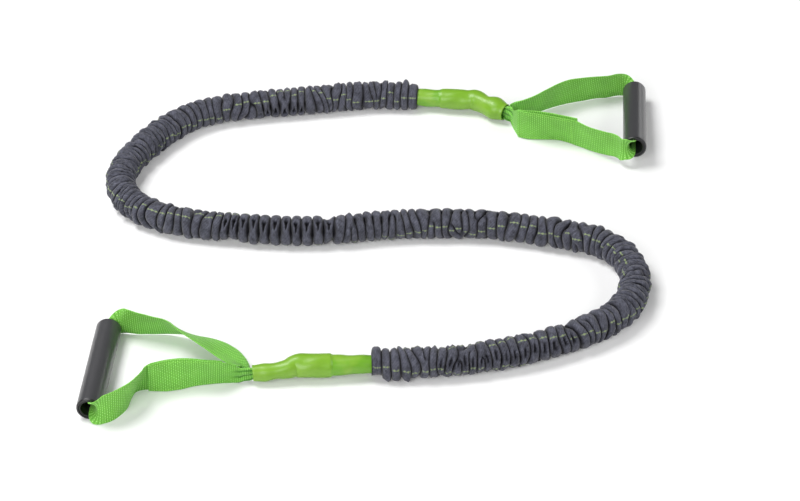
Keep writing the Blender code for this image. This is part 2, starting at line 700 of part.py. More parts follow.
def wrap_stations(handle):
    """The webbing round the near rim, through the bore and round the far rim."""
    full = WEBBING_WIDTH / webbing_in_bore
    off = WEBBING_THICKNESS / 2 + GAP
    wall = (core_bore + GRIP_RADIUS) / 2
    starts = (GRIP_RADIUS + off, wall, wall, core_bore)
    plan = [
        (start + aside, -off - beyond)
        for start, aside, beyond in zip(starts, RIM_CLEAR_ASIDE, RIM_CLEAR_BEYOND, strict=True)
    ]
    plan += [(webbing_in_bore, off + RIM_CLEAR_INSIDE), (webbing_in_bore, STRAIGHT_IN_BORE)]
    near, far = [], []
    for (reach, depth), share, slack in zip(plan, WRAP_CURL_SHARE, FAR_RIM_SLACK, strict=True):
        flat = (WEBBING_WIDTH, WEBBING_THICKNESS, 0.0, full * share)
        near.append((handle.near + handle.to_boot * reach + handle.axis * depth, *flat))
        far.append((handle.far + handle.to_boot * reach - handle.axis * (depth - slack), *flat))
    centre = (handle.middle + handle.to_boot * webbing_in_bore,)
    return near + [centre + near[-1][1:]] + far[::-1]


def nose_stations(pivot, toward, lateral):
    """The webbing's rounded end at the pivot, from its tip outwards."""
    stations = []
    for back in (0.97, 0.8, 0.5, 0.2, -0.4):
        height = 2 * NOSE_RADIUS * math.sqrt(1 - max(back, 0.0) ** 2)
        middle = pivot + lateral - toward * back * NOSE_RADIUS
        stations.append((middle, height, WEBBING_THICKNESS, 0.0, 0.0))
    return stations


def branch(rows, curls):
    stations = []
    full = WEBBING_WIDTH / webbing_in_bore
    for (x, y, z, height, lean_deg, layers), share in zip(rows, curls, strict=True):
        lean, curl = math.radians(lean_deg), full * share
        width = height * WEBBING_WIDTH / LAID_OUT_WIDTH_MM
        thickness = OVERLAP_THICKNESS if layers == 2 else WEBBING_THICKNESS
        stations.append((layout3((x, y, z)), width, thickness, lean, curl))
    return stations


def refined(stations, cuts):
    """More stations on a smooth curve through the given ones."""
    rows = np.array([(*s[0], *s[1:]) for s in stations])
    padded = np.vstack([2 * rows[0] - rows[1], rows, 2 * rows[-1] - rows[-2]])
    fine = []
    for i in range(1, len(padded) - 2):
        p0, p1, p2, p3 = (padded[i + k, :3] for k in (-1, 0, 1, 2))
        d0, d1, d2 = (max(np.linalg.norm(b - a), 1e-6) ** 0.5 for a, b in ((p0, p1), (p1, p2), (p2, p3)))
        m1 = d1 * ((p1 - p0) / d0 - (p2 - p0) / (d0 + d1) + (p2 - p1) / d1)
        m2 = d1 * ((p2 - p1) / d1 - (p3 - p1) / (d1 + d2) + (p3 - p2) / d2)
        for t in np.arange(cuts) / cuts:
            spot = (2 * t**3 - 3 * t**2 + 1) * p1 + (t**3 - 2 * t**2 + t) * m1
            spot = spot + (3 * t**2 - 2 * t**3) * p2 + (t**3 - t**2) * m2
            rest = padded[i, 3:] * (1 - t) + padded[i + 1, 3:] * t
            fine.append((standing(Vector(spot), *rest), *rest))
    fine.append((standing(Vector(rows[-1][:3]), *rows[-1][3:]), *rows[-1][3:]))
    return fine


def make_strap(end, handle, lower_rows, upper_rows):
    toward = level(end.mouth_out)
    away = UP.cross(toward) if end.side == "right" else toward.cross(UP)
    apart = away * (WEBBING_THICKNESS + NOSE_GAP) / 2
    out = nose_stations(end.pivot, toward, -apart)
    back = nose_stations(end.pivot, toward, apart)[::-1]
    curl_in = [0.0] * (len(lower_rows) - 2) + list(APPROACH_CURL_SHARE)
    curl_out = list(APPROACH_CURL_SHARE[::-1]) + [0.0] * (len(upper_rows) - 2)
    free = branch(lower_rows, curl_in) + wrap_stations(handle) + branch(upper_rows, curl_out)
    stations = out[:-1] + refined([out[-1], *free, back[0]], 2) + back[1:]
    curl_side = 1 if end.side == "left" else -1
    return ribbon(end.side + "_strap", stations, curl_side, end.pivot, RIBBON_CELLS)


LEFT_HANDLE = Handle("left", LEFT_HANDLE_MM, LEFT_HANDLE_HEADING, LEFT_HANDLE_LIFT)
RIGHT_HANDLE = Handle("right", RIGHT_HANDLE_MM, RIGHT_HANDLE_HEADING, RIGHT_HANDLE_LIFT)
STRAPS = (
    (LEFT, LEFT_HANDLE, LEFT_LOWER_MM, LEFT_UPPER_MM),
    (RIGHT, RIGHT_HANDLE, RIGHT_LOWER_MM, RIGHT_UPPER_MM),
)

for end, handle, lower, upper in STRAPS:
    hinge = empty(end.side + "_strap_hinge", Matrix.Translation(end.pivot), end.parent)
    spin = empty(end.side + "_handle_spin", handle.matrix, hinge)
    as_node(make_strap(end, handle, lower, upper), WEBBING, hinge)
    as_node(make_grip(handle), GRIP_PLASTIC, spin)
    as_node(make_core(handle), CORE_PLASTIC, spin)

bpy.context.view_layer.update()
print(f"sleeve {sleeve_length / MM:.1f} mm, folds {sleeve_length / FOLD_COUNT / MM:.2f} mm apart")
for end, handle in ((LEFT, LEFT_HANDLE), (RIGHT, RIGHT_HANDLE)):
    print(end.side, "pivot", [round(c, 5) for c in end.pivot], "boot", round(end.length / MM, 2))
    print(end.side, "mouth", [round(c, 5) for c in end.mouth_out], [round(c, 5) for c in end.out])
    print(end.side, "handle", [round(c, 5) for c in handle.middle], [round(c, 5) for c in handle.axis])
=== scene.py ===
"""Resistance tube: the looks of the laid-out part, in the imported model's own frame.

An elastic tube in a gathered cloth sleeve lies in an S on the floor. At each end a dipped rubber
boot covers its plug, and a webbing loop leaves the boot's mouth and carries a tube handle.
"""

import math

import bmesh
import bpy
import numpy as np
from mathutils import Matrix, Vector


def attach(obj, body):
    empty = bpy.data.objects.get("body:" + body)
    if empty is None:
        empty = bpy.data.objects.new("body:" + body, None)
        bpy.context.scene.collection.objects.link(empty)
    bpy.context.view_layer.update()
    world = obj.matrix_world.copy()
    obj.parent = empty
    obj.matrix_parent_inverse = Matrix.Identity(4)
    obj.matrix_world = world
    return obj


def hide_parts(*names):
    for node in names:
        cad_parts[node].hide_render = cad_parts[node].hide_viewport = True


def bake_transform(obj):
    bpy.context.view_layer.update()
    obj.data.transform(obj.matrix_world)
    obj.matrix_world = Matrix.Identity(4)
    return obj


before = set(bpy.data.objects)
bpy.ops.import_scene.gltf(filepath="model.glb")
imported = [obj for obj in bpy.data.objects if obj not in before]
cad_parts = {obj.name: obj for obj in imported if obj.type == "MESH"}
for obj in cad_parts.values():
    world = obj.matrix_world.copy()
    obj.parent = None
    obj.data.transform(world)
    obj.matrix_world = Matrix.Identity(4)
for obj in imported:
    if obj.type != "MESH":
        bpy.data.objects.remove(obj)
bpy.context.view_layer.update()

# Camera
# Stands 3 m from the part on the near side and looks down at 36 degrees through a long lens,
# as the photograph was taken. The layout's own zero is what it is aimed at.

MM = 0.001
UP = Vector((0.0, 0.0, 1.0))
PLAN_ZERO = Vector((18.42 * MM, -4.08 * MM, 0.0))
VIEW_HEIGHT_ANGLE = math.radians(36.0)
VIEW_DISTANCE = 3.0
SENSOR_WIDTH_MM = 36.0
LENS_MM = 135.0


def new_object(name, data):
    """An object of the scene that holds a camera, a lamp or a mesh."""
    obj = bpy.data.objects.new(name, data)
    bpy.context.scene.collection.objects.link(obj)
    return obj


camera = new_object("camera", bpy.data.cameras.new("camera"))
camera.data.sensor_width = SENSOR_WIDTH_MM
camera.data.lens = LENS_MM
toward_camera = Vector((0.0, -math.cos(VIEW_HEIGHT_ANGLE), math.sin(VIEW_HEIGHT_ANGLE)))
camera.location = PLAN_ZERO + toward_camera * VIEW_DISTANCE
camera.rotation_euler = toward_camera.to_track_quat("Z", "Y").to_euler()
bpy.context.scene.camera = camera

# Gathered sleeve
# A long woven nylon sleeve pushed up over the tube into soft rolls with deep creases, with two dashed
# lime threads and plain cuffs over the boots' tails. It is made as two lengths that meet in a crease.

SLEEVE_ROUTE_MM = [
    (-27, -201), (3, -199.8), (15, -199.3), (50, -196.5), (81, -190), (114, -181), (149, -167),
    (175, -153), (197, -137), (216, -116), (227, -92), (230, -66), (226, -42), (214, -20),
    (196, -4), (172, 5), (142, 13), (112, 20), (80, 25), (46, 26), (12, 25.5), (-22, 22.5),
    (-56, 16.5), (-90, 13.5), (-125, 14.5), (-160, 18.5), (-194, 23), (-226, 31), (-252, 44),
    (-271, 61), (-283, 84), (-286, 109), (-280, 135), (-266, 164), (-246, 194), (-222, 219),
    (-196, 233), (-160, 242), (-124, 248), (-87, 254), (-50, 259.5), (-26, 262.4),
    (-9, 262.8), (5, 261.4), (19, 260),
]
SPLIT_NEAR_MM = (-222, 219)
SLEEVE_AXIS_HEIGHT = 14.5 * MM
SLEEVE_END_AXIS_HEIGHT = 13.5 * MM
END_DIP_STARTS = 40.0 * MM
END_DIP_RUN = 24.0 * MM
SLEEVE_DIAMETER = 29.0 * MM
ROLL_CREST_RADIUS = 15.1 * MM
ROLL_CREASE_RADIUS = 10.9 * MM
ROLL_PITCH = 9.2 * MM
LONGEST_ROLL = 1.9 * ROLL_PITCH
SHORTEST_ROLL = 0.55 * ROLL_PITCH
LEAST_SWELL = 0.35
ARCH_FOLD = 0.86
HOLLOW_DEPTH = 2.2 * MM
FLOOR_ROUNDING = 1.2 * MM
QUIET_REACH = 26.0 * MM
HOLLOW_END_RUN = 5.0 * MM
HOLLOW_CALMING = 0.6
HOLLOW_CALM_REACH = 1.5
HOLLOW_LEAST_WIDTH = 0.35
SPREAD_NARROWING = 0.8
ARCH_REACH = 0.5
FORK_SPREAD_MM = 7
FORK_CLEARANCE = 34.0 * MM
EVEN_MARGIN_MM = 5
FORK_CALM_REACH = 2.4 * MM
FORK_CALMING = 0.9
CUFF_RUN = 9.6 * MM
CUFF_RADIUS = 13.5 * MM
CUFF_BORE = 8.8 * MM
CUFF_FLATNESS = 3.4
CUFF_ROUNDING = 0.6
CUFF_SWELL = 0.5
LINING_RADIUS = 6.9 * MM
LINING_STEP_AT = 19.0 * MM
LINING_CLEAR_OF_END = 32.0 * MM
LINING_RING_STEP = 10.0 * MM
SLEEVE_OVER_BOOT = 16.0 * MM
FORKED_ROLLS = 36
HEADING_REACH = 4.0 * MM
SLEEVE_RING_STEP = 0.75 * MM
SLEEVE_SIDES = 64
CLOTH_TURN_RADIUS = 0.42 * SLEEVE_DIAMETER / 2
THREAD_SLIP = 0.19
THREAD_SLIP_MOST = 0.34
CORD_PATH_STEP = 5.0 * MM
CURVE_CUTS = 24

# How far apart the rolls are at each distance along the sleeve, both in mm: closer in the bends
ROLL_SPACING = [
    (0, 8.2), (60, 8.4), (140, 8.8), (170, 10.6), (215, 10.4), (245, 7.4), (340, 7.0), (380, 8.6),
    (430, 10.2), (560, 10.2), (600, 8.0), (650, 8.4), (665, 10.6), (755, 10.4), (775, 7.6),
    (805, 9.2), (850, 9.6), (872, 6.4), (1000, 5.8), (1040, 8.2), (1100, 10.2), (1150, 9.4),
    (1200, 8.4), (1304, 8.0),
]
# How crumpled the cloth is at each distance along the sleeve: mm, and 0 for smooth to 1
CRUMPLED = [
    (0, 0.35), (30, 0.6), (60, 0.8), (140, 0.7), (165, 0.3), (220, 0.3), (250, 0.9), (345, 1.0),
    (385, 0.45), (430, 0.15), (560, 0.15), (600, 0.5), (650, 0.4), (670, 0.1), (750, 0.1),
    (780, 0.5), (810, 0.2), (850, 0.25), (880, 0.9), (1000, 1.0), (1045, 0.5), (1090, 0.15),
    (1180, 0.2), (1220, 0.6), (1304, 0.5),
]
# Where the cloth gapes into hollows: from and to in mm, the hollow's angle and its reach either
# way, the angle of an arch of cloth that closes it, all in degrees, how open it is, and whether
# it opens in the middle of each roll (1) or in the creases between them (0)
GAPING = [
    (655, 775, 326, 23, 0, 1.0, 1), (655, 775, 302, 22, 0, 1.0, 0),
    (590, 648, 336, 18, 2, 0.85, 0), (470, 575, 8, 13, 27, 0.7, 0),
    (1132, 1186, 98, 16, 0, 0.9, 1), (1132, 1186, 76, 16, 0, 0.9, 0),
    (60, 150, 84, 14, 112, 0.45, 0), (395, 430, 352, 12, 15, 0.6, 0),
    (58, 205, 62, 24, 0, 0.6, 1),
]
# How wide a hollow is that opens in a crease and in a roll, as a share of half a roll
HOLLOW_WIDTHS = (0.28, 0.25)
# Where a hollow starts to close and over how much, across the rolls and round the sleeve
HOLLOW_EDGE = (0.45, 1.1)
HOLLOW_SIDE = (0.55, 0.7)
# How much and how long, in mm, the hollows' sides sway along the sleeve
HOLLOW_SWAYS_MM = ((0.22, 6.1), (0.16, 2.7))
# Single folds that stand out or lie in: distance and angle of the middle in mm and degrees, reach
# along in mm and round in degrees, and how far out in mm
LOOSE_FOLDS = [
    (17, 130, 4, 30, 2.4), (24.5, 128, 3, 26, 2.2), (33.5, 128, 4.5, 30, 4.6),
    (67, -30, 5, 45, -2.6), (93, -30, 5, 45, -3.6),
    (1234, -36, 5, 45, 2.4), (1291, -40, 3.5, 40, 3.2),
    (664, 36, 3.4, 75, -4.6), (664, -144, 3.4, 75, -4.0),
    (763, -144, 9, 50, -3.4),
]
# How far up and away from the viewer the cloth of the left cuff has slipped
CUFF_SLIP = 3.4 * MM
CUFF_SLIP_ANGLE = math.radians(-36.0)

# Waves that vary the rolls: how much, how long in mm, and how many times they turn round the sleeve
WARPS = (
    (0.7, 57, 0), (0.5, 31, 0), (0.5, 19, 0), (0.9, 97, 1), (0.9, 143, -1), (0.7, 53, 1),
    (0.7, 61, -1), (0.5, 33, 1), (0.5, 29, -1), (0.5, 83, 2), (0.5, 71, -2), (0.35, 41, 2),
    (0.35, 37, -2), (0.22, 47, 3), (0.22, 43, -3),
)
SWELLS_MM = (
    (0.30, 151, 0), (0.40, 23, 0), (0.42, 13.7, 0), (0.30, 37, 1), (0.38, 17, -1),
    (0.28, 29, 2), (0.32, 19, -2), (0.24, 15, 3), (0.24, 14, -3), (0.15, 11, 4),
)
RIPPLES_MM = (
    (0.25, 2.7, 1), (0.25, 3.1, -2), (0.25, 3.4, 3), (0.25, 3.7, -1), (0.25, 4.3, 2),
    (0.25, 4.9, -3), (0.25, 5.6, 0), (0.25, 3.0, 5), (0.25, 3.9, -6),
)
LEANS_MM = ((0.9, 45, 1), (0.9, 26, -1), (0.7, 67, 0), (0.5, 21, 2))

# Angle of the two lime threads round the sleeve, from the top toward the right of the way from
# the left end to the right one, in degrees, at each distance along the sleeve in mm
THREAD_ONE = [
    (0, 76), (60, 90), (110, 113), (150, 140), (200, 180), (250, 230), (296, 295), (320, 310),
    (345, 325), (380, 315), (418, 306), (478, 306), (488, 300), (498, 285), (507, 267), (515, 264),
    (524, 272), (535, 271), (547, 292), (557, 292), (567, 284), (578, 268), (590, 257), (609, 241),
    (626, 231), (640, 228), (690, 228),
    (800, 190), (900, 110), (945, 88), (985, 92), (1022, 86), (1045, 78), (1063, 96), (1078, 82),
    (1090, 82), (1096, 60), (1130, 42), (1143, 24), (1160, 12), (1192, 12), (1204, 54), (1213, 76),
    (1223, 50), (1228, 50), (1236, 84), (1256, 94), (1265, 62), (1277, 62), (1285, 92), (1291, 92),
    (1298, 60), (1304, 60),
]
THREAD_TWO = [
    (0, -40), (60, -30), (110, -10), (158, 26), (200, 54), (250, 80), (300, 95), (350, 100),
    (420, 120), (680, 70), (750, 36), (787, -9), (875, -50), (925, -75), (985, -75),
    (1060, -80), (1304, -80),
]


def plan(x_mm, y_mm, z=0.0):
    """A point of the layout, given in mm, in the part's frame."""
    return Vector((x_mm * MM, y_mm * MM, z)) + PLAN_ZERO


def lengths_along(line):
    return np.concatenate([[0], np.cumsum(np.linalg.norm(np.diff(line, axis=0), axis=1))])


def points_at(line, distances):
    along = lengths_along(line)
    return np.stack([np.interp(distances, along, line[:, k]) for k in range(3)], axis=1)


def hermite(t, value, rise, next_value, next_rise):
    """A cubic from one value to the next over t from 0 to 1, with its rise at both ends."""
    return ((2 * t**3 - 3 * t**2 + 1) * value + (t**3 - 2 * t**2 + t) * rise
            + (3 * t**2 - 2 * t**3) * next_value + (t**3 - t**2) * next_rise)


def curve_between(p0, p1, p2, p3, shares):
    """Points of a smooth curve through four points, at these shares of the way from p1 to p2."""
    d0, d1, d2 = (max(np.linalg.norm(b - a), 1e-6) ** 0.5
                  for a, b in ((p0, p1), (p1, p2), (p2, p3)))
    m1 = d1 * ((p1 - p0) / d0 - (p2 - p0) / (d0 + d1) + (p2 - p1) / d1)
    m2 = d1 * ((p2 - p1) / d1 - (p3 - p1) / (d1 + d2) + (p3 - p2) / d2)
    return hermite(np.array(shares)[:, None], p1, m1, p2, m2)


def padded_ends(rows):
    """The rows with one more before and after them, for a curve that runs through them all."""
    return np.vstack([2 * rows[0] - rows[1], rows, 2 * rows[-1] - rows[-2]])


def smooth_line(points, step):
    """Points about a step apart on one smooth curve through the given points."""
    p = padded_ends(np.array([tuple(q) for q in points], float))
    shares = np.arange(CURVE_CUTS) / CURVE_CUTS
    fine = [curve_between(*p[i - 1 : i + 3], shares) for i in range(1, len(p) - 2)]
    fine = np.vstack([*fine, p[-2]])
    along = lengths_along(fine)
    return points_at(fine, np.linspace(0, along[-1], max(2, round(along[-1] / step) + 1)))


def eased(value):
    value = np.clip(value, 0.0, 1.0)
    return value * value * (3 - 2 * value)


def closing(value, start, over):
    """1 up to the start, and 0 from there plus the way that it closes over."""
    return 1 - eased((value - start) / over)


def value_at(marks, rows):
    """Reads a table of distances in mm and values at marks in metres."""
    distances, values = zip(*rows, strict=True)
    return np.interp(marks, np.array(distances) * MM, values)


def ring_angles(sides):
    return np.linspace(0, 2 * math.pi, sides, endpoint=False)


sleeve_line = smooth_line([plan(x, y) for x, y in SLEEVE_ROUTE_MM], MM)
sleeve_marks = lengths_along(sleeve_line)
sleeve_length = sleeve_marks[-1]
to_end = np.minimum(sleeve_marks, sleeve_length - sleeve_marks)
end_dip = eased((END_DIP_STARTS - to_end) / END_DIP_RUN)
sleeve_line[:, 2] = SLEEVE_AXIS_HEIGHT + (SLEEVE_END_AXIS_HEIGHT - SLEEVE_AXIS_HEIGHT) * end_dip
split_point = np.array(plan(*SPLIT_NEAR_MM))
split_mark = sleeve_marks[np.argmin(np.linalg.norm((sleeve_line - split_point)[:, :2], axis=1))]
anchor_marks = np.array([CUFF_RUN, split_mark, sleeve_length - CUFF_RUN])
spacing = value_at(sleeve_marks, ROLL_SPACING) * MM
rolls_passed = np.cumsum(np.gradient(sleeve_marks) / spacing)
rolls_at_anchors = np.interp(anchor_marks, sleeve_marks, rolls_passed)
whole_rolls = np.concatenate([[0], np.cumsum(np.round(np.diff(rolls_at_anchors)))])
anchor_phases = math.pi + 2 * math.pi * whole_rolls

chance = np.random.default_rng(seed=11)


def random_waves(rows, least, most, unit):
    """Gives each wave a size between two shares of its amount, and a random shift."""
    return [
        (chance.uniform(least, most) * amount * unit, length * MM, around,
         chance.uniform(0, 2 * math.pi))
        for amount, length, around in rows
    ]


warps = random_waves(WARPS, 0.5, 1.15, 1.0)
swells = random_waves(SWELLS_MM, 0.6, 1.2, MM)
ripples = random_waves(RIPPLES_MM, 0.7, 1.2, MM)
leans = random_waves(LEANS_MM, 0.6, 1.2, MM)
forks = []
while len(forks) < FORKED_ROLLS:
    spot, angle = chance.uniform(0, sleeve_length), chance.uniform(0, 2 * math.pi)
    other = spot + chance.uniform(-FORK_SPREAD_MM, FORK_SPREAD_MM) * MM
    turn = chance.uniform(0.5, 1.1) * math.pi
    even = any(start - EVEN_MARGIN_MM < mark / MM < end + EVEN_MARGIN_MM
               for start, end, *_ in GAPING[:2] for mark in (spot, other))
    near = min(abs(anchor_marks - mark).min() for mark in (spot, other))
    if near > FORK_CLEARANCE and not even:
        forks.append((spot, angle, other, angle + turn, chance.choice([-1, 1])))


def waves(terms, mark, angle):
    """A smooth random-looking field along and round the sleeve."""
    total = np.zeros(np.broadcast(mark, angle).shape)
    for amount, length, around, shift in terms:
        total = total + amount * np.cos(2 * math.pi * mark / length + around * angle + shift)
    return total


def fork_phase(mark, angle):
    """What the forked rolls add to the phase: one roll more between each pair of forks."""
    radius = SLEEVE_DIAMETER / 2
    z = angle + 1j * mark / radius
    total = np.zeros(z.shape)
    for spot, turn, other, other_turn, sign in forks:
        first, second = turn + 1j * spot / radius, other_turn + 1j * other / radius
        total += sign * (np.angle(np.sin((z - first) / 2)) - np.angle(np.sin((z - second) / 2)))
    return total


def fork_calm(mark, angle):
    """How far from a fork's own point a place is: near 0 there, 1 a few millimetres off."""
    calm = np.ones(np.broadcast(mark, angle).shape)
    for spot, turn, other, other_turn, _ in forks:
        for s, a in ((spot, turn), (other, other_turn)):
            aside = (angle - a + math.pi) % (2 * math.pi) - math.pi
            far = ((mark - s) ** 2 + (SLEEVE_DIAMETER / 2 * aside) ** 2) / FORK_CALM_REACH**2
            calm *= 1 - FORK_CALMING * np.exp(-far)
    return calm


def degrees_off(angle, way):
    """How far round from a way in degrees each angle in radians is."""
    return np.degrees(np.angle(np.exp(1j * (angle - math.radians(way)))))


SLEEVE_FIELDS = ("phase", "calm", "gape", "arch", "spread", "slope", "swell", "lean", "crumpled")


def sleeve_fields(marks):
    """Phase of the rolls and what varies them, on rings at these marks."""
    mark = marks[:, None]
    angle = ring_angles(SLEEVE_SIDES)[None, :]
    passed = np.interp(marks, sleeve_marks, rolls_passed)
    base = np.interp(passed, rolls_at_anchors, anchor_phases)[:, None]
    quiet = np.ones(mark.shape)
    for anchor in anchor_marks:
        quiet = quiet * eased(np.abs(mark - anchor) / QUIET_REACH)
    for start, end, *_, share, _ in GAPING:
        from_middle = np.abs(mark * 2 - (start + end) * MM) / ((end - start) * MM)
        quiet = quiet * (1 - HOLLOW_CALMING * share * eased(HOLLOW_CALM_REACH - from_middle))
    offsets = np.angle(np.exp(1j * fork_phase(anchor_marks[:, None], angle)).mean(axis=1))
    settled = fork_phase(mark, angle) - np.interp(marks, anchor_marks, offsets)[:, None]
    phase = base + quiet * waves(warps, mark, angle) + settled
    wheel = np.exp(1j * phase)
    rate = np.imag(np.conj(wheel) * np.gradient(wheel, marks, axis=0))
    slope = 1 / np.clip(rate, 2 * math.pi / LONGEST_ROLL, 2 * math.pi / SHORTEST_ROLL)
    crumpled = value_at(mark, CRUMPLED)
    swell = waves(swells, mark, angle) * (LEAST_SWELL + (1 - LEAST_SWELL) * quiet)
    swell = swell + crumpled * waves(ripples, mark, angle)
    lean = waves(leans, mark, angle) * quiet
    aside = [np.abs(np.angle(turn)) / math.pi for turn in (-wheel, wheel)]
    gape, arch, spread = (np.zeros(phase.shape) for _ in range(3))
    sway = sum(size * np.cos(mark / (length * MM)) for size, length in HOLLOW_SWAYS_MM)
    for start, end, hollow, reach, over, share, in_roll in GAPING:
        here = share * eased((mark - start * MM) / HOLLOW_END_RUN)
        here = here * eased((end * MM - mark) / HOLLOW_END_RUN)
        off = degrees_off(angle, hollow) / reach + sway
        taper = np.clip(0.5 + 0.5 * off * (1 if in_roll else -1), 0, 1)
        width = HOLLOW_WIDTHS[in_roll] * (HOLLOW_LEAST_WIDTH + (1 - HOLLOW_LEAST_WIDTH) * taper)
        open_here = closing(aside[in_roll] / width, *HOLLOW_EDGE)
        gape = np.maximum(gape, here * open_here * closing(np.abs(off), *HOLLOW_SIDE))
        if not in_roll:
            spread = np.maximum(spread, here * np.exp(-np.abs(SPREAD_NARROWING * off) ** 3))
        if over:
            past = degrees_off(angle, over) / (ARCH_REACH * reach) + sway
            arch += here * np.exp(-np.abs(past) ** 3)
    swell = swell - HOLLOW_DEPTH * gape
    for spot, way, reach, wide, out in LOOSE_FOLDS:
        bulge = ((mark / MM - spot) / reach) ** 2 + (degrees_off(angle, way) / wide) ** 2
        swell = swell + out * MM * np.exp(-bulge)
    calm, crumpled = fork_calm(mark, angle), crumpled + 0 * angle
    made = (phase % (2 * math.pi), calm, gape, arch, spread, slope, swell, lean, crumpled)
    return dict(zip(SLEEVE_FIELDS, made, strict=True))


def roll_jitter(mark, angle):
    """What turns a thread's angles, in radians, into one for each roll, as each has slipped."""
    fields = sleeve_fields(mark)
    column = np.round(angle / (2 * math.pi) * SLEEVE_SIDES).astype(int) % SLEEVE_SIDES
    phase = np.unwrap(fields["phase"][np.arange(len(mark)), column])
    roll = np.floor((phase - math.pi) / (2 * math.pi)).astype(int)
    roll = roll - roll.min()
    slips = np.random.default_rng(seed=5).normal(0.0, THREAD_SLIP, roll.max() + 1)
    middle = np.bincount(roll, weights=angle) / np.maximum(np.bincount(roll), 1)
    return (np.clip(slips, -THREAD_SLIP_MOST, THREAD_SLIP_MOST) + middle)[roll] - angle


class Term:
    """One output of a node, which plain arithmetic turns into Math nodes."""

    def __init__(self, tree, socket):
        self.tree = tree
        self.socket = socket

    def __add__(self, other):
        return maths("ADD", self, other)

    def __sub__(self, other):
        return maths("SUBTRACT", self, other)

    def __rsub__(self, other):
        return maths("SUBTRACT", other, self)

    def __mul__(self, other):
        return maths("MULTIPLY", self, other)

    def __truediv__(self, other):
        return maths("DIVIDE", self, other)

    __radd__ = __add__
    __rmul__ = __mul__


def tree_of(*values):
    return next(value.tree for value in values if isinstance(value, Term))


def feed(node, key, value):
    """Links a node's input to a term, or fills it with a plain value."""
    if isinstance(value, Term):
        value.tree.links.new(value.socket, node.inputs[key])
    else:
        node.inputs[key].default_value = value


def wire(tree, kind, inputs=None, output=0, **settings):
    """Adds a node, sets it and feeds it. Gives back one of its outputs, or with None all by name."""
    node = tree.nodes.new(kind)
    for key, value in settings.items():
        setattr(node, key, value)
    for key, value in (inputs or {}).items():
        feed(node, key, value)
    if output is None:
        return {socket.name: Term(tree, socket) for socket in node.outputs}
    return Term(tree, node.outputs[output])


def maths(operation, *values):
    return wire(tree_of(*values), "ShaderNodeMath", dict(enumerate(values)), operation=operation)


def vectors(operation, first, second):
    """A Vector Math node. Its second input is a vector, or for SCALE a number."""
    key = "Scale" if operation == "SCALE" else 1
    return wire(first.tree, "ShaderNodeVectorMath", {0: first, key: second}, operation=operation)


def parts(vector):
    """The x, y and z of a vector."""
    return wire(vector.tree, "ShaderNodeSeparateXYZ", {0: vector}, None).values()


def joined(x, y, z=0.0):
    """The vector of three numbers."""
    return wire(tree_of(x, y, z), "ShaderNodeCombineXYZ", {0: x, 1: y, 2: z})


def noise(at, scale, detail, roughness=0.5, output=0):
    return wire(at.tree, "ShaderNodeTexNoise",
                {"Vector": at, "Scale": scale, "Detail": detail, "Roughness": roughness}, output)


def named(tree, kind, name):
    """Reads a named attribute of the mesh in a Geometry Nodes tree."""
    return wire(tree, "GeometryNodeInputNamedAttribute", {"Name": name}, data_type=kind)


def new_group(name, kind, inputs, outputs):
    """A node group's tree, its given inputs by name, and the node that its outputs go to.

    Each socket is given with its plain value, or with its type where it isn't a float.
    """
    tree = bpy.data.node_groups.new(name, kind)
    for in_out, sockets in (("INPUT", inputs), ("OUTPUT", outputs)):
        for title, value in sockets.items():
            is_float = isinstance(value, float)
            socket_type = "NodeSocketFloat" if is_float else "NodeSocket" + value
            socket = tree.interface.new_socket(title, in_out=in_out, socket_type=socket_type)
            if is_float:
                socket.default_value = value
    return tree, wire(tree, "NodeGroupInput", output=None), tree.nodes.new("NodeGroupOutput")


def end_group(out, geometry, material):
    """Ends a Geometry Nodes tree with real geometry in one material."""
    real = wire(geometry.tree, "GeometryNodeRealizeInstances", {"Geometry": geometry})
    feed(out, 0, wire(geometry.tree, "GeometryNodeSetMaterial",
                      {"Geometry": real, "Material": material}))


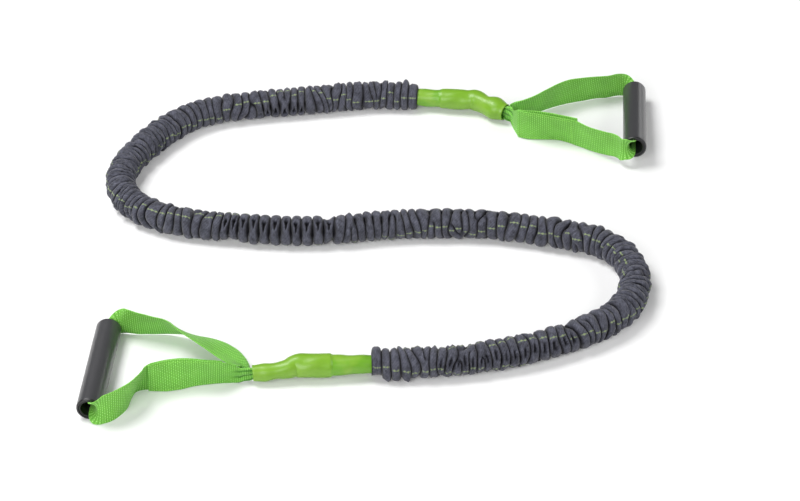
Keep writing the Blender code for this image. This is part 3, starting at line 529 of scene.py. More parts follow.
def gathers_tree():
    """Geometry Nodes that push a plain sleeve up into rolls, from its phase and its sizes."""
    tree, given, out = new_group("gathers", "GeometryNodeTree", {
        "Geometry": "Geometry", "Crest Radius": ROLL_CREST_RADIUS,
        "Crease Radius": ROLL_CREASE_RADIUS, "Fullness": 0.46, "Pinch": 0.68,
        "Wrinkle": 0.9 * MM, "Wrinkle Seed": 3.0, "Rest Height": 0.25 * MM, "Cloth": "Material",
    }, {"Geometry": "Geometry"})
    phase, calm, gape, arch, spread, slope, swell, lean, crumpled = (
        named(tree, "FLOAT", name) for name in SLEEVE_FIELDS
    )
    plain, plain_radius, plain_fold, cloth = (
        named(tree, "FLOAT", name) for name in ("plain", "plain_radius", "plain_fold", "cloth")
    )
    outward = named(tree, "FLOAT_VECTOR", "outward")
    heading = named(tree, "FLOAT_VECTOR", "heading")
    wave = maths("COSINE", phase) * 0.5 + 0.5
    full = maths("POWER", maths("MAXIMUM", wave, 0.0), given["Fullness"])
    fold = ((full - 0.5) * calm + 0.5) * (1.0 - gape)
    fold = (ARCH_FOLD - fold) * arch + fold
    rise = given["Crest Radius"] - given["Crease Radius"]
    rolled = rise * fold + given["Crease Radius"] + swell * (fold * 0.5 + 0.5)
    radius = (plain_radius - rolled) * plain + rolled
    pinch = maths("SINE", phase) * calm * (given["Pinch"] * slope) * (1.0 - spread)
    shift = (lean * fold + pinch) * (1.0 - plain)
    moved = vectors("ADD", vectors("SCALE", outward, radius), vectors("SCALE", heading, shift))
    at = vectors("ADD", wire(tree, "GeometryNodeInputPosition"), moved)
    rough = wire(tree, "ShaderNodeTexNoise",
                 {"Vector": named(tree, "FLOAT_VECTOR", "cloth_at"), "W": given["Wrinkle Seed"],
                  "Scale": 250.0, "Detail": 3.0, "Roughness": 0.6}, noise_dimensions="4D")
    crumple = (rough - 0.5) * (given["Wrinkle"] * cloth) * (crumpled * 0.9 + 0.5)
    at = vectors("ADD", at, vectors("SCALE", outward, crumple * 2.0))
    x, y, z = parts(at)
    lifted = maths("SMOOTH_MAX", z, given["Rest Height"], FLOOR_ROUNDING)
    # What is stored as fold also sets the sleeve's painted shade: low in the creases, the hollows and
    # at the cuffs' edges, and a crumpled cloth gets a little less of it.
    shown = (plain_fold - fold) * plain + fold
    shown = shown + maths("POWER", crumpled, 3.0) * ((1.0 - shown) * 0.3)
    geometry = wire(tree, "GeometryNodeStoreNamedAttribute",
                    {"Geometry": given["Geometry"], "Name": "fold", "Value": shown},
                    data_type="FLOAT", domain="POINT")
    geometry = wire(tree, "GeometryNodeSetPosition",
                    {"Geometry": geometry, "Position": joined(x, y, lifted)})
    end_group(out, geometry, given["Cloth"])
    return tree


def sleeve_frames(marks):
    """Centre, level heading and right of the sleeve at these marks."""
    centre = points_at(sleeve_line, marks)
    ahead = points_at(sleeve_line, np.clip(marks + HEADING_REACH, 0, sleeve_length))
    behind = points_at(sleeve_line, np.clip(marks - HEADING_REACH, 0, sleeve_length))
    heading = ahead - behind
    heading[:, 2] = 0.0
    heading /= np.linalg.norm(heading, axis=1)[:, None]
    right = np.stack([heading[:, 1], -heading[:, 0], np.zeros(len(marks))], axis=1)
    return centre, heading, right


def put(mesh, name, kind, values):
    """Stores a named attribute on a mesh's points."""
    attribute = mesh.attributes.new(name, kind, "POINT")
    key = "vector" if kind == "FLOAT_VECTOR" else "value"
    attribute.data.foreach_set(key, np.ascontiguousarray(values, dtype=np.float32).ravel())


def put_uv(mesh, name, along, across):
    layer = mesh.uv_layers.new(name=name)
    layer.data.foreach_set("uv", np.stack([along, across], axis=1).astype(np.float32).ravel())


def corner_points(mesh):
    """The point that each face corner of a mesh is at."""
    corners = np.zeros(len(mesh.loops), int)
    mesh.loops.foreach_get("vertex_index", corners)
    return corners


def mesh_object(name, points, faces, edges=()):
    """An object of the scene with a new mesh of these points, faces and loose edges."""
    mesh = bpy.data.meshes.new(name)
    mesh.from_pydata(np.reshape(points, (-1, 3)).tolist(), list(edges), np.array(faces).tolist())
    return new_object(name, mesh)


def by_nodes(obj, group, values):
    """Runs a Geometry Nodes group on an object and keeps what it makes as a plain mesh."""
    modifier = obj.modifiers.new(group.name, "NODES")
    modifier.node_group = group
    for item in group.interface.items_tree:
        if item.item_type == "SOCKET" and item.in_out == "INPUT" and item.name in values:
            modifier[item.identifier] = values[item.name]
    bpy.context.view_layer.update()
    evaluated = obj.evaluated_get(bpy.context.evaluated_depsgraph_get())
    mesh = bpy.data.meshes.new_from_object(evaluated)
    obj.modifiers.clear()
    obj.data = mesh
    mesh.name = obj.name
    mesh.shade_smooth()


def sleeve_length_of_cloth(name, start, end, cloth):
    """One length of the sleeve: its outer cloth, its lining, and the rims that close it."""
    marks = np.linspace(start, end, round((end - start) / SLEEVE_RING_STEP) + 1)
    fields = sleeve_fields(marks)
    tail_marks = np.array([0.0, LINING_STEP_AT - MM, LINING_STEP_AT + MM])
    lining = [m for m in (*tail_marks, *(sleeve_length - tail_marks)) if start <= m <= end]
    lining += [start, end]
    lining += [*np.arange(start + LINING_CLEAR_OF_END, end - LINING_CLEAR_OF_END, LINING_RING_STEP)]
    lining = np.array(sorted(set(lining)))
    every = np.concatenate([marks, lining])
    centre, heading, right = sleeve_frames(every)
    angle = ring_angles(SLEEVE_SIDES)
    outward = right[:, None, :] * np.sin(angle)[None, :, None]
    outward[:, :, 2] += np.cos(angle)[None, :]
    n, k, total = len(marks), SLEEVE_SIDES, len(every)
    near_end = np.minimum(marks, sleeve_length - marks)
    middle = CUFF_RUN / 2
    reach = np.clip(np.abs(near_end - middle) / middle, 0, 1)
    profile = (1 - reach**CUFF_FLATNESS) ** CUFF_ROUNDING
    cuff_radius = ROLL_CREASE_RADIUS + (CUFF_RADIUS - ROLL_CREASE_RADIUS) * profile
    over_boot = np.minimum(lining, sleeve_length - lining) <= LINING_STEP_AT
    bore = np.where(over_boot, CUFF_BORE, LINING_RADIUS)
    cuff = cuff_radius[:, None] + CUFF_SWELL * fields["swell"]
    slip = CUFF_SLIP * np.where(marks < CUFF_RUN, profile, 0.0)
    cuff += slip[:, None] * np.cos(angle - CUFF_SLIP_ANGLE)[None, :]
    cloth_rows, lining_rows = np.ones((n, k)), np.ones((len(lining), k))
    values = {
        "plain_radius": (cuff, bore[:, None] * lining_rows),
        "plain": (np.where(near_end < CUFF_RUN, 1.0, 0.0)[:, None] * cloth_rows, lining_rows),
        "plain_fold": (profile[:, None] * cloth_rows, 0 * lining_rows),
        "cloth": (cloth_rows, 0 * lining_rows),
        **{key: (field, 0 * lining_rows) for key, field in fields.items()},
    }
    grid = np.arange(total * k).reshape(total, k)
    bands = [(grid[i + 1], grid[i]) for i in range(n - 1)]
    bands += [(grid[i], grid[i + 1]) for i in range(n, total - 1)]
    bands += [(grid[0], grid[n]), (grid[total - 1], grid[n - 1])]
    quads = [np.stack([a, np.roll(a, -1), np.roll(b, -1), b], axis=1) for a, b in bands]
    obj = mesh_object(name, np.repeat(centre[:, None, :], k, axis=1), np.concatenate(quads))
    mesh = obj.data
    for key, pair in values.items():
        put(mesh, key, "FLOAT", np.concatenate(pair))
    put(mesh, "outward", "FLOAT_VECTOR", outward)
    put(mesh, "heading", "FLOAT_VECTOR", np.repeat(heading[:, None, :], k, axis=1))
    along = np.repeat(every[:, None], k, axis=1)
    for key, rows in (("thread_one", THREAD_ONE), ("thread_two", THREAD_TWO)):
        where = np.radians(value_at(every, rows))
        slip = np.interp(every, marks, roll_jitter(marks, where[:n]))
        off = angle[None, :] - (where + slip)[:, None]
        away = np.stack([SLEEVE_DIAMETER / 2 * np.sin(off), np.cos(off), along], axis=2)
        put(mesh, key, "FLOAT_VECTOR", away)
    around = [CLOTH_TURN_RADIUS * turn(angle)[None, :] + 0 * along for turn in (np.sin, np.cos)]
    put(mesh, "cloth_at", "FLOAT_VECTOR", np.stack([*around, along], axis=2))
    corners = corner_points(mesh)
    step = (corners % k).astype(float).reshape(-1, 4)
    wrapped = (step.max(axis=1) - step.min(axis=1)) > k / 2
    step[wrapped] = np.where(step[wrapped] == 0, k, step[wrapped])
    put_uv(mesh, "cloth_run", every[corners // k], step.ravel() * (math.pi * SLEEVE_DIAMETER / k))
    by_nodes(obj, GATHERS, {"Cloth": cloth, "Crest Radius": ROLL_CREST_RADIUS,
                            "Crease Radius": ROLL_CREASE_RADIUS})
    pairs = np.zeros(len(obj.data.edges) * 2, int)
    obj.data.edges.foreach_get("vertices", pairs)
    pairs = pairs.reshape(-1, 2)
    rims = np.isin(pairs, grid[[0, n - 1, n, total - 1]])
    same = rims.all(axis=1) & (pairs[:, 0] // k == pairs[:, 1] // k)
    sharp = obj.data.attributes.new("sharp_edge", "BOOLEAN", "EDGE")
    sharp.data.foreach_set("value", same)
    return obj


def threads_group():
    """Plain weave on a cloth's UV: its height, the threads on top, and a fleck for each crossing."""
    group, given, out = new_group("plain_weave", "ShaderNodeTree", {
        "Vector": "Vector", "Along Pitch": 1.0 * MM, "Across Pitch": 1.0 * MM, "Unevenness": 0.3,
    }, {"Height": 0.0, "Over": 0.0, "Fleck": 0.0})
    wobble = vectors("SUBTRACT", noise(given["Vector"], 160.0, 1.0, output=1), (0.5, 0.5, 0.5))
    wobble = vectors("SCALE", wobble, given["Unevenness"] * given["Along Pitch"])
    x, y, _ = parts(vectors("ADD", given["Vector"], wobble))
    u, v = x / given["Along Pitch"], y / given["Across Pitch"]
    round_u, round_v = (maths("ABSOLUTE", maths("SINE", way * math.pi)) for way in (u, v))
    cell_u, cell_v = (maths("FLOOR", way) for way in (u, v))
    over = maths("PINGPONG", cell_u + cell_v, 1.0)
    both = maths("POWER", round_u * round_v, 0.5)
    side = (round_u - round_v) * over + round_v
    fleck = wire(group, "ShaderNodeTexWhiteNoise", {"Vector": joined(cell_u, cell_v)},
                 noise_dimensions="3D")
    for name, value in (("Height", (both + side) * 0.5), ("Over", over), ("Fleck", fleck)):
        feed(out, name, value)
    return group


def finish_of(name, **constants):
    """A new material with its Principled shader's plain values set."""
    material = bpy.data.materials.new(name)
    material.use_nodes = True
    shader = material.node_tree.nodes["Principled BSDF"]
    for key, value in constants.items():
        shader.inputs[key.replace("_", " ").title().replace("Ior", "IOR")].default_value = value
    return material, material.node_tree, shader


def blended(share, low, high, mode="MIX"):
    """One colour over another by a share."""
    under, over = (c if isinstance(c, Term) else (*c, 1.0) for c in (low, high))
    return wire(tree_of(share, low, high), "ShaderNodeMix", {0: share, 6: under, 7: over}, 2,
                data_type="RGBA", blend_type=mode)


def shaded(colour, shade):
    """A colour made lighter or darker."""
    return blended(1.0, colour, joined(shade, shade, shade), "MULTIPLY")


def stepped(value, low, high):
    """0 below low, 1 above high, smooth between."""
    return wire(value.tree, "ShaderNodeMapRange",
                {"Value": value, "From Min": low, "From Max": high},
                interpolation_type="SMOOTHSTEP")


def bumped(shader, relief, strength, distance):
    feed(shader, "Normal", wire(relief.tree, "ShaderNodeBump", {
        "Height": relief, "Strength": strength, "Distance": distance}))


def object_place(tree):
    """Object coordinates, which are the frame's own here."""
    return wire(tree, "ShaderNodeTexCoord", output=3)


def attribute(tree, name, output=2):
    """Reads a named attribute in a material: 2 for a number, 1 for a vector."""
    return wire(tree, "ShaderNodeAttribute", output=output, attribute_name=name)


def thread_mask(tree, name):
    """Where a lime thread shows: a run of short dashes, each crossed by a tiny tick."""
    aside, facing, along = parts(attribute(tree, name, 1))
    away = maths("ABSOLUTE", aside)
    beat = maths("FRACT", along / THREAD_BEAT)
    dash = maths("LESS_THAN", beat, DASH_SHARE) * 0.5 + 0.5
    line = stepped(away, *DASH_EDGES) * dash
    near = maths("LESS_THAN", maths("ABSOLUTE", beat - TICK_AT), TICK_REACH)
    tick = stepped(away, *TICK_EDGES) * near
    return maths("MAXIMUM", line, tick) * maths("GREATER_THAN", facing, 0.0)


WEAVE = threads_group()
TWILL_PITCH = 1.8 * MM
THREAD_BEAT = 2.3 * MM
DASH_SHARE = 0.7
DASH_EDGES = (0.66 * MM, 0.36 * MM)
TICK_AT = 0.35
TICK_REACH = 0.13
TICK_EDGES = (1.15 * MM, 0.85 * MM)
SLEEVE_CREST_COLOUR = (0.074, 0.076, 0.100)
SLEEVE_CREASE_SHADE_COLOUR = (0.003, 0.003, 0.007)
LIME_THREAD_COLOUR = (0.25, 0.31, 0.165)

sleeve_cloth, tree, shader = finish_of("sleeve_cloth", roughness=0.82, specular_ior_level=0.22,
                                       sheen_weight=0.25, sheen_roughness=0.45)
run = wire(tree, "ShaderNodeUVMap", uv_map="cloth_run")
threads = wire(tree, "ShaderNodeGroup", {
    "Vector": run, "Along Pitch": 0.42 * MM, "Across Pitch": 0.5 * MM, "Unevenness": 0.5,
}, None, node_tree=WEAVE)
place = object_place(tree)
mottle = noise(place, 95.0, 4.0)
fuzz = noise(place, 1400.0, 2.0)
crimps = noise(attribute(tree, "cloth_at", 1), 430.0, 3.0, 0.7)
fold = attribute(tree, "fold")
along, across, _ = parts(run)
twill = maths("SINE", (across * 0.5 + along + mottle * (3.0 * MM)) * (2 * math.pi / TWILL_PITCH))
shade = (mottle * 0.5 + 0.75) * (threads["Over"] * 0.34 + 0.83) * (fuzz + 0.5)
shade = shade * (crimps * 2.6 - 0.3) * (twill * 0.13 + 1.0)
# Painted shade: the cloth's colour goes to near black toward the creases, hollows and cuff edges, as
# the stored fold falls.
colour = shaded(blended(stepped(fold, 0.3, 0.97), SLEEVE_CREASE_SHADE_COLOUR, SLEEVE_CREST_COLOUR), shade)
lime = maths("MAXIMUM", thread_mask(tree, "thread_one"), thread_mask(tree, "thread_two"))
lime = lime * stepped(fold, 0.55, 0.88)
feed(shader, "Base Color", blended(lime, colour, LIME_THREAD_COLOUR))
relief = crimps * 5.0 + (threads["Height"] * 0.7 + fuzz * 0.5 + lime * 0.8)
bumped(shader, relief, 0.6, 0.14 * MM)

GATHERS = gathers_tree()
sleeve_tube = sleeve_length_of_cloth("sleeve_long_run", 0.0, split_mark, sleeve_cloth)
sleeve_upper = sleeve_length_of_cloth("sleeve_upper_run", split_mark, sleeve_length, sleeve_cloth)
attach(sleeve_tube, "tube")
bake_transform(sleeve_upper)
for piece, start, end in ((sleeve_tube, 0.0, split_mark), (sleeve_upper, split_mark, sleeve_length)):
    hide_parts("gathered_sleeve")
    path = points_at(sleeve_line, np.linspace(start, end, round((end - start) / CORD_PATH_STEP) + 1))
    leaves = path[0] if start == 0.0 else path[-1]

# Latex tube
# The natural latex tube that does the work. It runs inside the sleeve from plug to plug and
# shows only if the sleeve is pushed back. It is made as two lengths, as the sleeve is.

LATEX_RADIUS = 6.0 * MM
LATEX_BORE = 3.2 * MM
LATEX_SIDES = 32
LATEX_STEP = 3.0 * MM
LATEX_END_STEP = 10.0 * MM
LATEX_SHARP_FROM = 40
LEFT_START, RIGHT_START = Vector(sleeve_line[0]), Vector(sleeve_line[-1])
LEFT_OUT = Vector((-0.99921, -0.03982, 0.0))
RIGHT_OUT = Vector((0.99474, -0.10248, 0.0))
LEFT_TUBE_END = 60.0 * MM
RIGHT_TUBE_END = 50.0 * MM
LATEX_COLOUR = (0.66, 0.50, 0.24)
LATEX_PALE_COLOUR = (0.56, 0.50, 0.34)
LATEX_BLOOM_COLOUR = (0.78, 0.72, 0.58)


def frames_of(line):
    """Heading, right and up at each point of a line, for rings that stand across it."""
    heading = np.gradient(line, axis=0)
    heading /= np.linalg.norm(heading, axis=1)[:, None]
    right = np.cross(heading, np.array(UP))
    right /= np.linalg.norm(right, axis=1)[:, None]
    return heading, right, np.cross(right, heading)


def closed_rings(name, rings):
    """A skin through rings of points, with the last ring joined to the first."""
    grid = np.arange(len(rings) * len(rings[0])).reshape(len(rings), -1)
    quads = [
        np.stack([a, b, np.roll(b, -1), np.roll(a, -1)], axis=1)
        for a, b in zip(grid, np.roll(grid, -1, axis=0), strict=True)
    ]
    obj = mesh_object(name, rings, np.concatenate(quads))
    obj.data.shade_smooth()
    return obj


def skin(name, centres, radii, right, up):
    """A closed skin round a line: each row has a centre on it, and a radius for each side."""
    angle = ring_angles(radii.shape[1])[None, :, None]
    spokes = up[:, None, :] * np.cos(angle) + right[:, None, :] * np.sin(angle)
    return closed_rings(name, centres[:, None, :] + radii[:, :, None] * spokes)


def hose(name, line, outer, bore, sides):
    """A hollow tube along a line, closed at both ends round its wall."""
    _, right, up = frames_of(line)
    out_again = np.arange(len(line))
    index = np.concatenate([out_again[::-1], out_again])
    radii = np.repeat([[bore]] * len(line) + [[outer]] * len(line), sides, axis=1)
    obj = skin(name, line[index], radii, right[index], up[index])
    obj.data.set_sharp_from_angle(angle=math.radians(LATEX_SHARP_FROM))
    return obj


latex, tree, shader = finish_of("latex", specular_ior_level=0.5, subsurface_weight=0.15)
place = object_place(tree)
cloud = noise(place, 60.0, 4.0)
bloom = noise(place, 700.0, 3.0)
colour = blended(cloud, LATEX_COLOUR, LATEX_PALE_COLOUR)
feed(shader, "Base Color", blended(bloom * 0.4, colour, LATEX_BLOOM_COLOUR))
feed(shader, "Roughness", bloom * 0.3 + 0.3)
bumped(shader, bloom, 0.2, 0.1 * MM)
latex_lower = np.vstack([
    LEFT_START + LEFT_OUT * LEFT_TUBE_END,
    *[LEFT_START + LEFT_OUT * d
      for d in np.arange(LEFT_TUBE_END - LATEX_END_STEP, 9 * MM, -LATEX_END_STEP)],
    points_at(sleeve_line, np.append(np.arange(0, split_mark, LATEX_STEP), split_mark)),
])
upper_marks = np.arange(sleeve_length, split_mark, -LATEX_STEP)[::-1]
latex_upper = np.vstack([
    points_at(sleeve_line, np.insert(upper_marks, 0, split_mark)),
    *[RIGHT_START + RIGHT_OUT * d
      for d in np.arange(LATEX_END_STEP, RIGHT_TUBE_END + MM, LATEX_END_STEP)],
])
latex_long = hose("latex_long_run", latex_lower, LATEX_RADIUS, LATEX_BORE, LATEX_SIDES)
latex_short = hose("latex_upper_run", latex_upper, LATEX_RADIUS, LATEX_BORE, LATEX_SIDES)
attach(latex_long, "tube")
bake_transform(latex_short)
for piece, path, leaves in ((latex_long, latex_lower, 0), (latex_short, latex_upper, -1)):
    piece.data.materials.append(latex)
    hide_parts("latex_tube")

# Boots
# Each end of the tube is dipped in lime rubber over its plug and clamp ring. The coating swells softly
# over what lies under it, is greener toward the sleeve, and ends in a rounded lip round its mouth.

BOOT_SIDES = 56
BOOT_RING_STEP = 0.9 * MM
BOOT_WALL = 1.6 * MM
BOOT_TAIL_RADIUS = 7.7 * MM
BOOT_TAIL_BORE = 6.5 * MM
BOOT_TAIL_ENDS = -2.0 * MM
BOOT_BORE_EVERY = 3
BOOT_LIP_CUTS = 9
BOOT_CALM_TAIL = 8.0 * MM
BOOT_CALM_MOUTH = 10.0 * MM
LEFT_PIN_AT = 72.0 * MM
RIGHT_PIN_AT = 62.0 * MM
LEFT_CREASE_AT = 37.0 * MM
RIGHT_CREASE_AT = 24.0 * MM
CREASE_WOBBLE = 5.0 * MM
BOOT_COLOUR = (0.195, 0.415, 0.024)
BOOT_TAIL_COLOUR = (0.155, 0.395, 0.018)
BOOT_PALE_COLOUR = (0.225, 0.440, 0.036)
BOOT_STREAK_COLOUR = (0.16, 0.40, 0.012)
BOOT_INSIDE_SHADE_COLOUR = (0.08, 0.22, 0.008)
LEFT_BOOT_AXIS_MM = [(-106, -207.3, 12.9), (-122, -209.4, 11.3), (-138, -211, 10.5)]
LEFT_BOOT_RADII_MM = [
    (0.6, 8.6), (14, 9.0), (27, 9.7), (36, 9.9), (39, 11.3), (52, 11.7), (66, 11.5), (76, 9.8),
    (84, 8.5), (91, 8.0), (101, 8.5), (108, 7.9), (112.27, 7.7),
]
RIGHT_BOOT_AXIS_MM = [(92, 245, 13.0), (102, 239, 12.6), (111, 233, 12.2)]
RIGHT_BOOT_RADII_MM = [
    (0.6, 9.1), (14, 9.2), (23, 9.4), (26, 10.5), (38, 10.8), (48, 10.5), (54, 10.2), (61, 11.2),
    (70, 10.5), (76, 9.9), (82, 11.2), (87, 12.0), (92, 11.2), (98.87, 9.1),
]
# Unevenness of the coating: how many times round, how long in mm, and how much in mm
BOOT_WAVES = ((1, 61, 0.16), (2, 37, 0.2), (3, 29, 0.14), (2, 19, 0.1), (4, 23, 0.08))


def eased_through(marks, at, values):
    """A smooth curve through rows of (at, value) that never swings past them."""
    at, values = np.array(at, float), np.array(values, float)
    step, rise = np.diff(at), np.diff(values) / np.diff(at)
    before, after = rise[:-1], rise[1:]
    slope = np.zeros(len(at))
    mean = 2 * before * after / (before + after + 1e-12)
    slope[1:-1] = np.where(before * after > 0, mean, 0.0)
    i = np.clip(np.searchsorted(at, marks) - 1, 0, len(step) - 1)
    t = np.clip((marks - at[i]) / step[i], 0, 1)
    return hermite(t, values[i], step[i] * slope[i], values[i + 1], step[i] * slope[i + 1])


def boot_axis(start, out, tube_end, pin_at, axis_mm):
    stops = (-SLEEVE_OVER_BOOT, 0.0, tube_end / 2, tube_end, pin_at)
    straight = [start + out * d for d in stops]
    return smooth_line(straight + [plan(x, y, z * MM) for x, y, z in axis_mm], MM)


def boot_skin(name, axis, radii_mm, lip, seed):
    """The outer skin from tail to mouth, a rounded lip, and the bore back to the tail."""
    length = lengths_along(axis)[-1] - SLEEVE_OVER_BOOT
    marks = np.linspace(-SLEEVE_OVER_BOOT, length, round((length + SLEEVE_OVER_BOOT) / BOOT_RING_STEP))
    rows_at = [-SLEEVE_OVER_BOOT, BOOT_TAIL_ENDS] + [s * MM for s, _ in radii_mm[:-1]] + [length]
    rows_radius = [BOOT_TAIL_RADIUS] * 2 + [r * MM for _, r in radii_mm]
    outer = eased_through(marks, rows_at, rows_radius)
    inner_marks = marks[::-1][::BOOT_BORE_EVERY]
    inner = np.maximum(eased_through(inner_marks, rows_at, rows_radius) - BOOT_WALL, BOOT_TAIL_BORE)
    turn = np.linspace(0, math.pi, BOOT_LIP_CUTS)[1:-1]
    lip_radius = outer[-1] - BOOT_WALL / 2 * (1 - np.cos(turn))
    every = np.concatenate([marks, length + lip * np.sin(turn), inner_marks])
    radius = np.concatenate([outer, lip_radius, inner])
    line = points_at(axis, np.clip(every, -SLEEVE_OVER_BOOT, length) + SLEEVE_OVER_BOOT)
    index = np.round((every + SLEEVE_OVER_BOOT) / lengths_along(axis)[1]).astype(int)
    index = np.clip(index, 0, len(axis) - 1)
    heading, right, up = (way[index] for way in frames_of(axis))
    line = line + heading * np.clip(every - length, 0, None)[:, None]
    dice = np.random.default_rng(seed)
    angle = ring_angles(BOOT_SIDES)[None, :]
    uneven = np.zeros((len(every), BOOT_SIDES))
    for around, wave, amount in BOOT_WAVES:
        uneven += amount * MM * np.cos(around * angle + dice.uniform(0, 6.28)
                                       + every[:, None] * 2 * math.pi / (wave * MM))
    calm = eased(every / BOOT_CALM_TAIL) * eased((length + MM - every) / BOOT_CALM_MOUTH)
    calm[len(marks):] = 0.0
    obj = skin(name, line, radius[:, None] + uneven * calm[:, None], right, up)
    # The inside share masks the painted shade on the lip and in the bore.
    inside = np.concatenate([0 * marks, turn / math.pi, 0 * inner_marks + 1])
    put(obj.data, "along", "FLOAT", np.repeat(every, BOOT_SIDES))
    put(obj.data, "inside", "FLOAT", np.repeat(inside, BOOT_SIDES))
    return obj


def rubber_finish(name, crease_at):
    """Glossy dipped rubber: greener before the crease that the ring under it makes, with painted shade
    inside the mouth.
    """
    material, tree, shader = finish_of(name, specular_ior_level=0.5, coat_weight=0.11,
                                       coat_roughness=0.17, coat_ior=1.45)
    place = object_place(tree)
    cloud = noise(place, 42.0, 3.0)
    peel = noise(place, 520.0, 2.0)
    streak = noise(place, 130.0, 5.0, 0.6)
    wobbly = cloud * CREASE_WOBBLE + attribute(tree, "along")
    crease = crease_at + CREASE_WOBBLE / 2
    past = stepped(wobbly, crease - 1.0 * MM, crease + 2.0 * MM)
    colour = blended(past, BOOT_TAIL_COLOUR, BOOT_COLOUR)
    colour = blended(stepped(cloud, 0.42, 0.66), colour, BOOT_PALE_COLOUR)
    colour = blended(stepped(streak, 0.5, 0.75) * 0.25, colour, BOOT_STREAK_COLOUR)
    # Painted shade: the lip and the bore inside the mouth are darkened.
    colour = blended(attribute(tree, "inside"), colour, BOOT_INSIDE_SHADE_COLOUR)
    feed(shader, "Base Color", colour)
    feed(shader, "Roughness", streak * 0.2 + 0.3)
    ridge = maths("ABSOLUTE", wobbly - crease)
    bumped(shader, stepped(ridge, 0.0, 1.0 * MM) * 2.5 + peel, 0.14, 0.16 * MM)
    return material


left_axis = boot_axis(LEFT_START, LEFT_OUT, LEFT_TUBE_END, LEFT_PIN_AT, LEFT_BOOT_AXIS_MM)
right_axis = boot_axis(RIGHT_START, RIGHT_OUT, RIGHT_TUBE_END, RIGHT_PIN_AT, RIGHT_BOOT_AXIS_MM)
left_boot = boot_skin("left_boot_skin", left_axis, LEFT_BOOT_RADII_MM, 0.8 * MM, 5)
right_boot = boot_skin("right_boot_skin", right_axis, RIGHT_BOOT_RADII_MM, 1.0 * MM, 8)
for piece, body, node, crease_at in ((left_boot, "tube", "left_end_boot", LEFT_CREASE_AT),
                                     (right_boot, "right_end", "right_end_boot", RIGHT_CREASE_AT)):
    piece.data.materials.append(rubber_finish(piece.name + "_rubber", crease_at))
    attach(piece, body)
    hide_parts(node)

# Plugs, clamp rings and strap pins
# A moulded nylon plug is barbed into each end of the latex tube under a crimped metal ring, and
# its fork carries a steel pin that the webbing goes round. All of it is inside the boots.

# Each finish: its colour, the grain's scale, stretch and tint, its least and most roughness, relief
PLUG_NYLON = ((0.74, 0.73, 0.68), 300.0, 1.0, 0.16, 0.3, 0.55, 0.15)
RING_METAL = ((0.62, 0.62, 0.63), 500.0, 0.15, 0.3, 0.22, 0.5, 0.2)
PIN_STEEL = ((0.56, 0.57, 0.59), 700.0, 0.2, 0.25, 0.16, 0.4, 0.15)


def grain_group():
    """Small unevenness of a hard surface: a tint, a change of roughness and a relief."""
    group, given, out = new_group("hard_grain", "ShaderNodeTree", {
        "Vector": "Vector", "Scale": 400.0, "Stretch": 1.0, "Tint": 0.1,
    }, {"Tint": 0.0, "Roughness": 0.0, "Height": 0.0})
    at = vectors("MULTIPLY", given["Vector"], joined(1.0, given["Stretch"], 1.0))
    fine = noise(at, given["Scale"], 4.0)
    mixed = noise(at, 38.0, 2.0) * 0.6 + fine * 0.4
    feed(out, "Tint", (mixed - 0.5) * given["Tint"] + 1.0)
    feed(out, "Roughness", mixed)
    feed(out, "Height", fine)
    return group


def grained(name, look, **constants):
    """A hard finish whose tint, roughness and relief come from the grain."""
    colour, scale, stretch, tint, rough_low, rough_high, relief = look
    material, tree, shader = finish_of(name, **constants)
    grain = wire(tree, "ShaderNodeGroup", {
        "Vector": object_place(tree), "Scale": scale, "Stretch": stretch, "Tint": tint,
    }, None, node_tree=GRAIN)
    feed(shader, "Base Color", shaded(colour, grain["Tint"]))
    feed(shader, "Roughness", grain["Roughness"] * (rough_high - rough_low) + rough_low)
    bumped(shader, grain["Height"], relief, 0.1 * MM)
    return material


GRAIN = grain_group()
for node, finish in (("tube_plug", grained("plug_nylon", PLUG_NYLON)),
                     ("clamp_ring", grained("ring_metal", RING_METAL, metallic=1.0)),
                     ("strap_pin", grained("pin_steel", PIN_STEEL, metallic=1.0))):
    for side in ("left_", "right_"):
        for kept_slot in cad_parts[side + node].material_slots:
            kept_slot.material = finish

# Webbing loops
# One length of green polyester webbing at each end: round the pin, out of the boot's mouth, through
# the handle's bore and back, its two ends lapped and sewn. It stands on edge, gathered at the mouth.

WEBBING_WIDTH = 35.0 * MM
WEBBING_THICKNESS = 1.6 * MM
WEBBING_CELLS = 28
SELVEDGE_SHARE = 1.1 / 35
SELVEDGE_THINNEST = 0.3
WEBBING_SHARP_FROM = 50
LEAST_CURL = 0.02
RIPPLE_DEPTH = 0.9 * MM
RIPPLES_ACROSS = 1.6
RIPPLE_DRIFT = 17.0 * MM
RIPPLE_FULL_HEIGHT = 20.0 * MM
LAYER_OFFSET = 0.86 * MM
TAIL_HEIGHT = 11.2 * MM
MOUTH_HEIGHT = {"left": 11.2 * MM, "right": 13.6 * MM}
NOSE_HEIGHT = {"left": 13.6 * MM, "right": 16.2 * MM}
NOSE_RADIUS = 5.5 * MM
NOSE_STATIONS = (-0.4, 0.2, 0.8)
APART = 1.05 * MM
PIVOT_REACH = 6.5 * MM
STRAP_FLOOR_GAP = 0.12 * MM
STRAP_CURL = 0.06
STATION_STEP = 1.6 * MM
STATIONS_AVERAGED = 5
PIN_TURN_RADIUS = 2.9 * MM
PIN_TURN_DEGREES = range(75, 286, 15)
LEG_CUTS = 6
TAIL_PAST_MOUTH = 0.3 * MM
TAIL_SIDE_FROM = 2.0 * MM
HANDLE_LENGTH = 124.0 * MM
GRIP_RADIUS = 12.1 * MM
CORE_BORE = 8.15 * MM
WEBBING_IN_BORE = 7.0 * MM
WEBBING_SHADE_COLOUR = (0.090, 0.350, 0.026)
WEBBING_COLOUR = (0.245, 0.660, 0.088)
WEBBING_KNUCKLE_HIGHLIGHT_COLOUR = (0.480, 0.860, 0.280)
SELVEDGE_COLOUR = (0.260, 0.680, 0.100)
PLEAT_SHADE_COLOUR = (0.040, 0.200, 0.014)
PLEAT_WIDTH = 13.0 * MM
PLEAT_DRIFT = 31.0 * MM
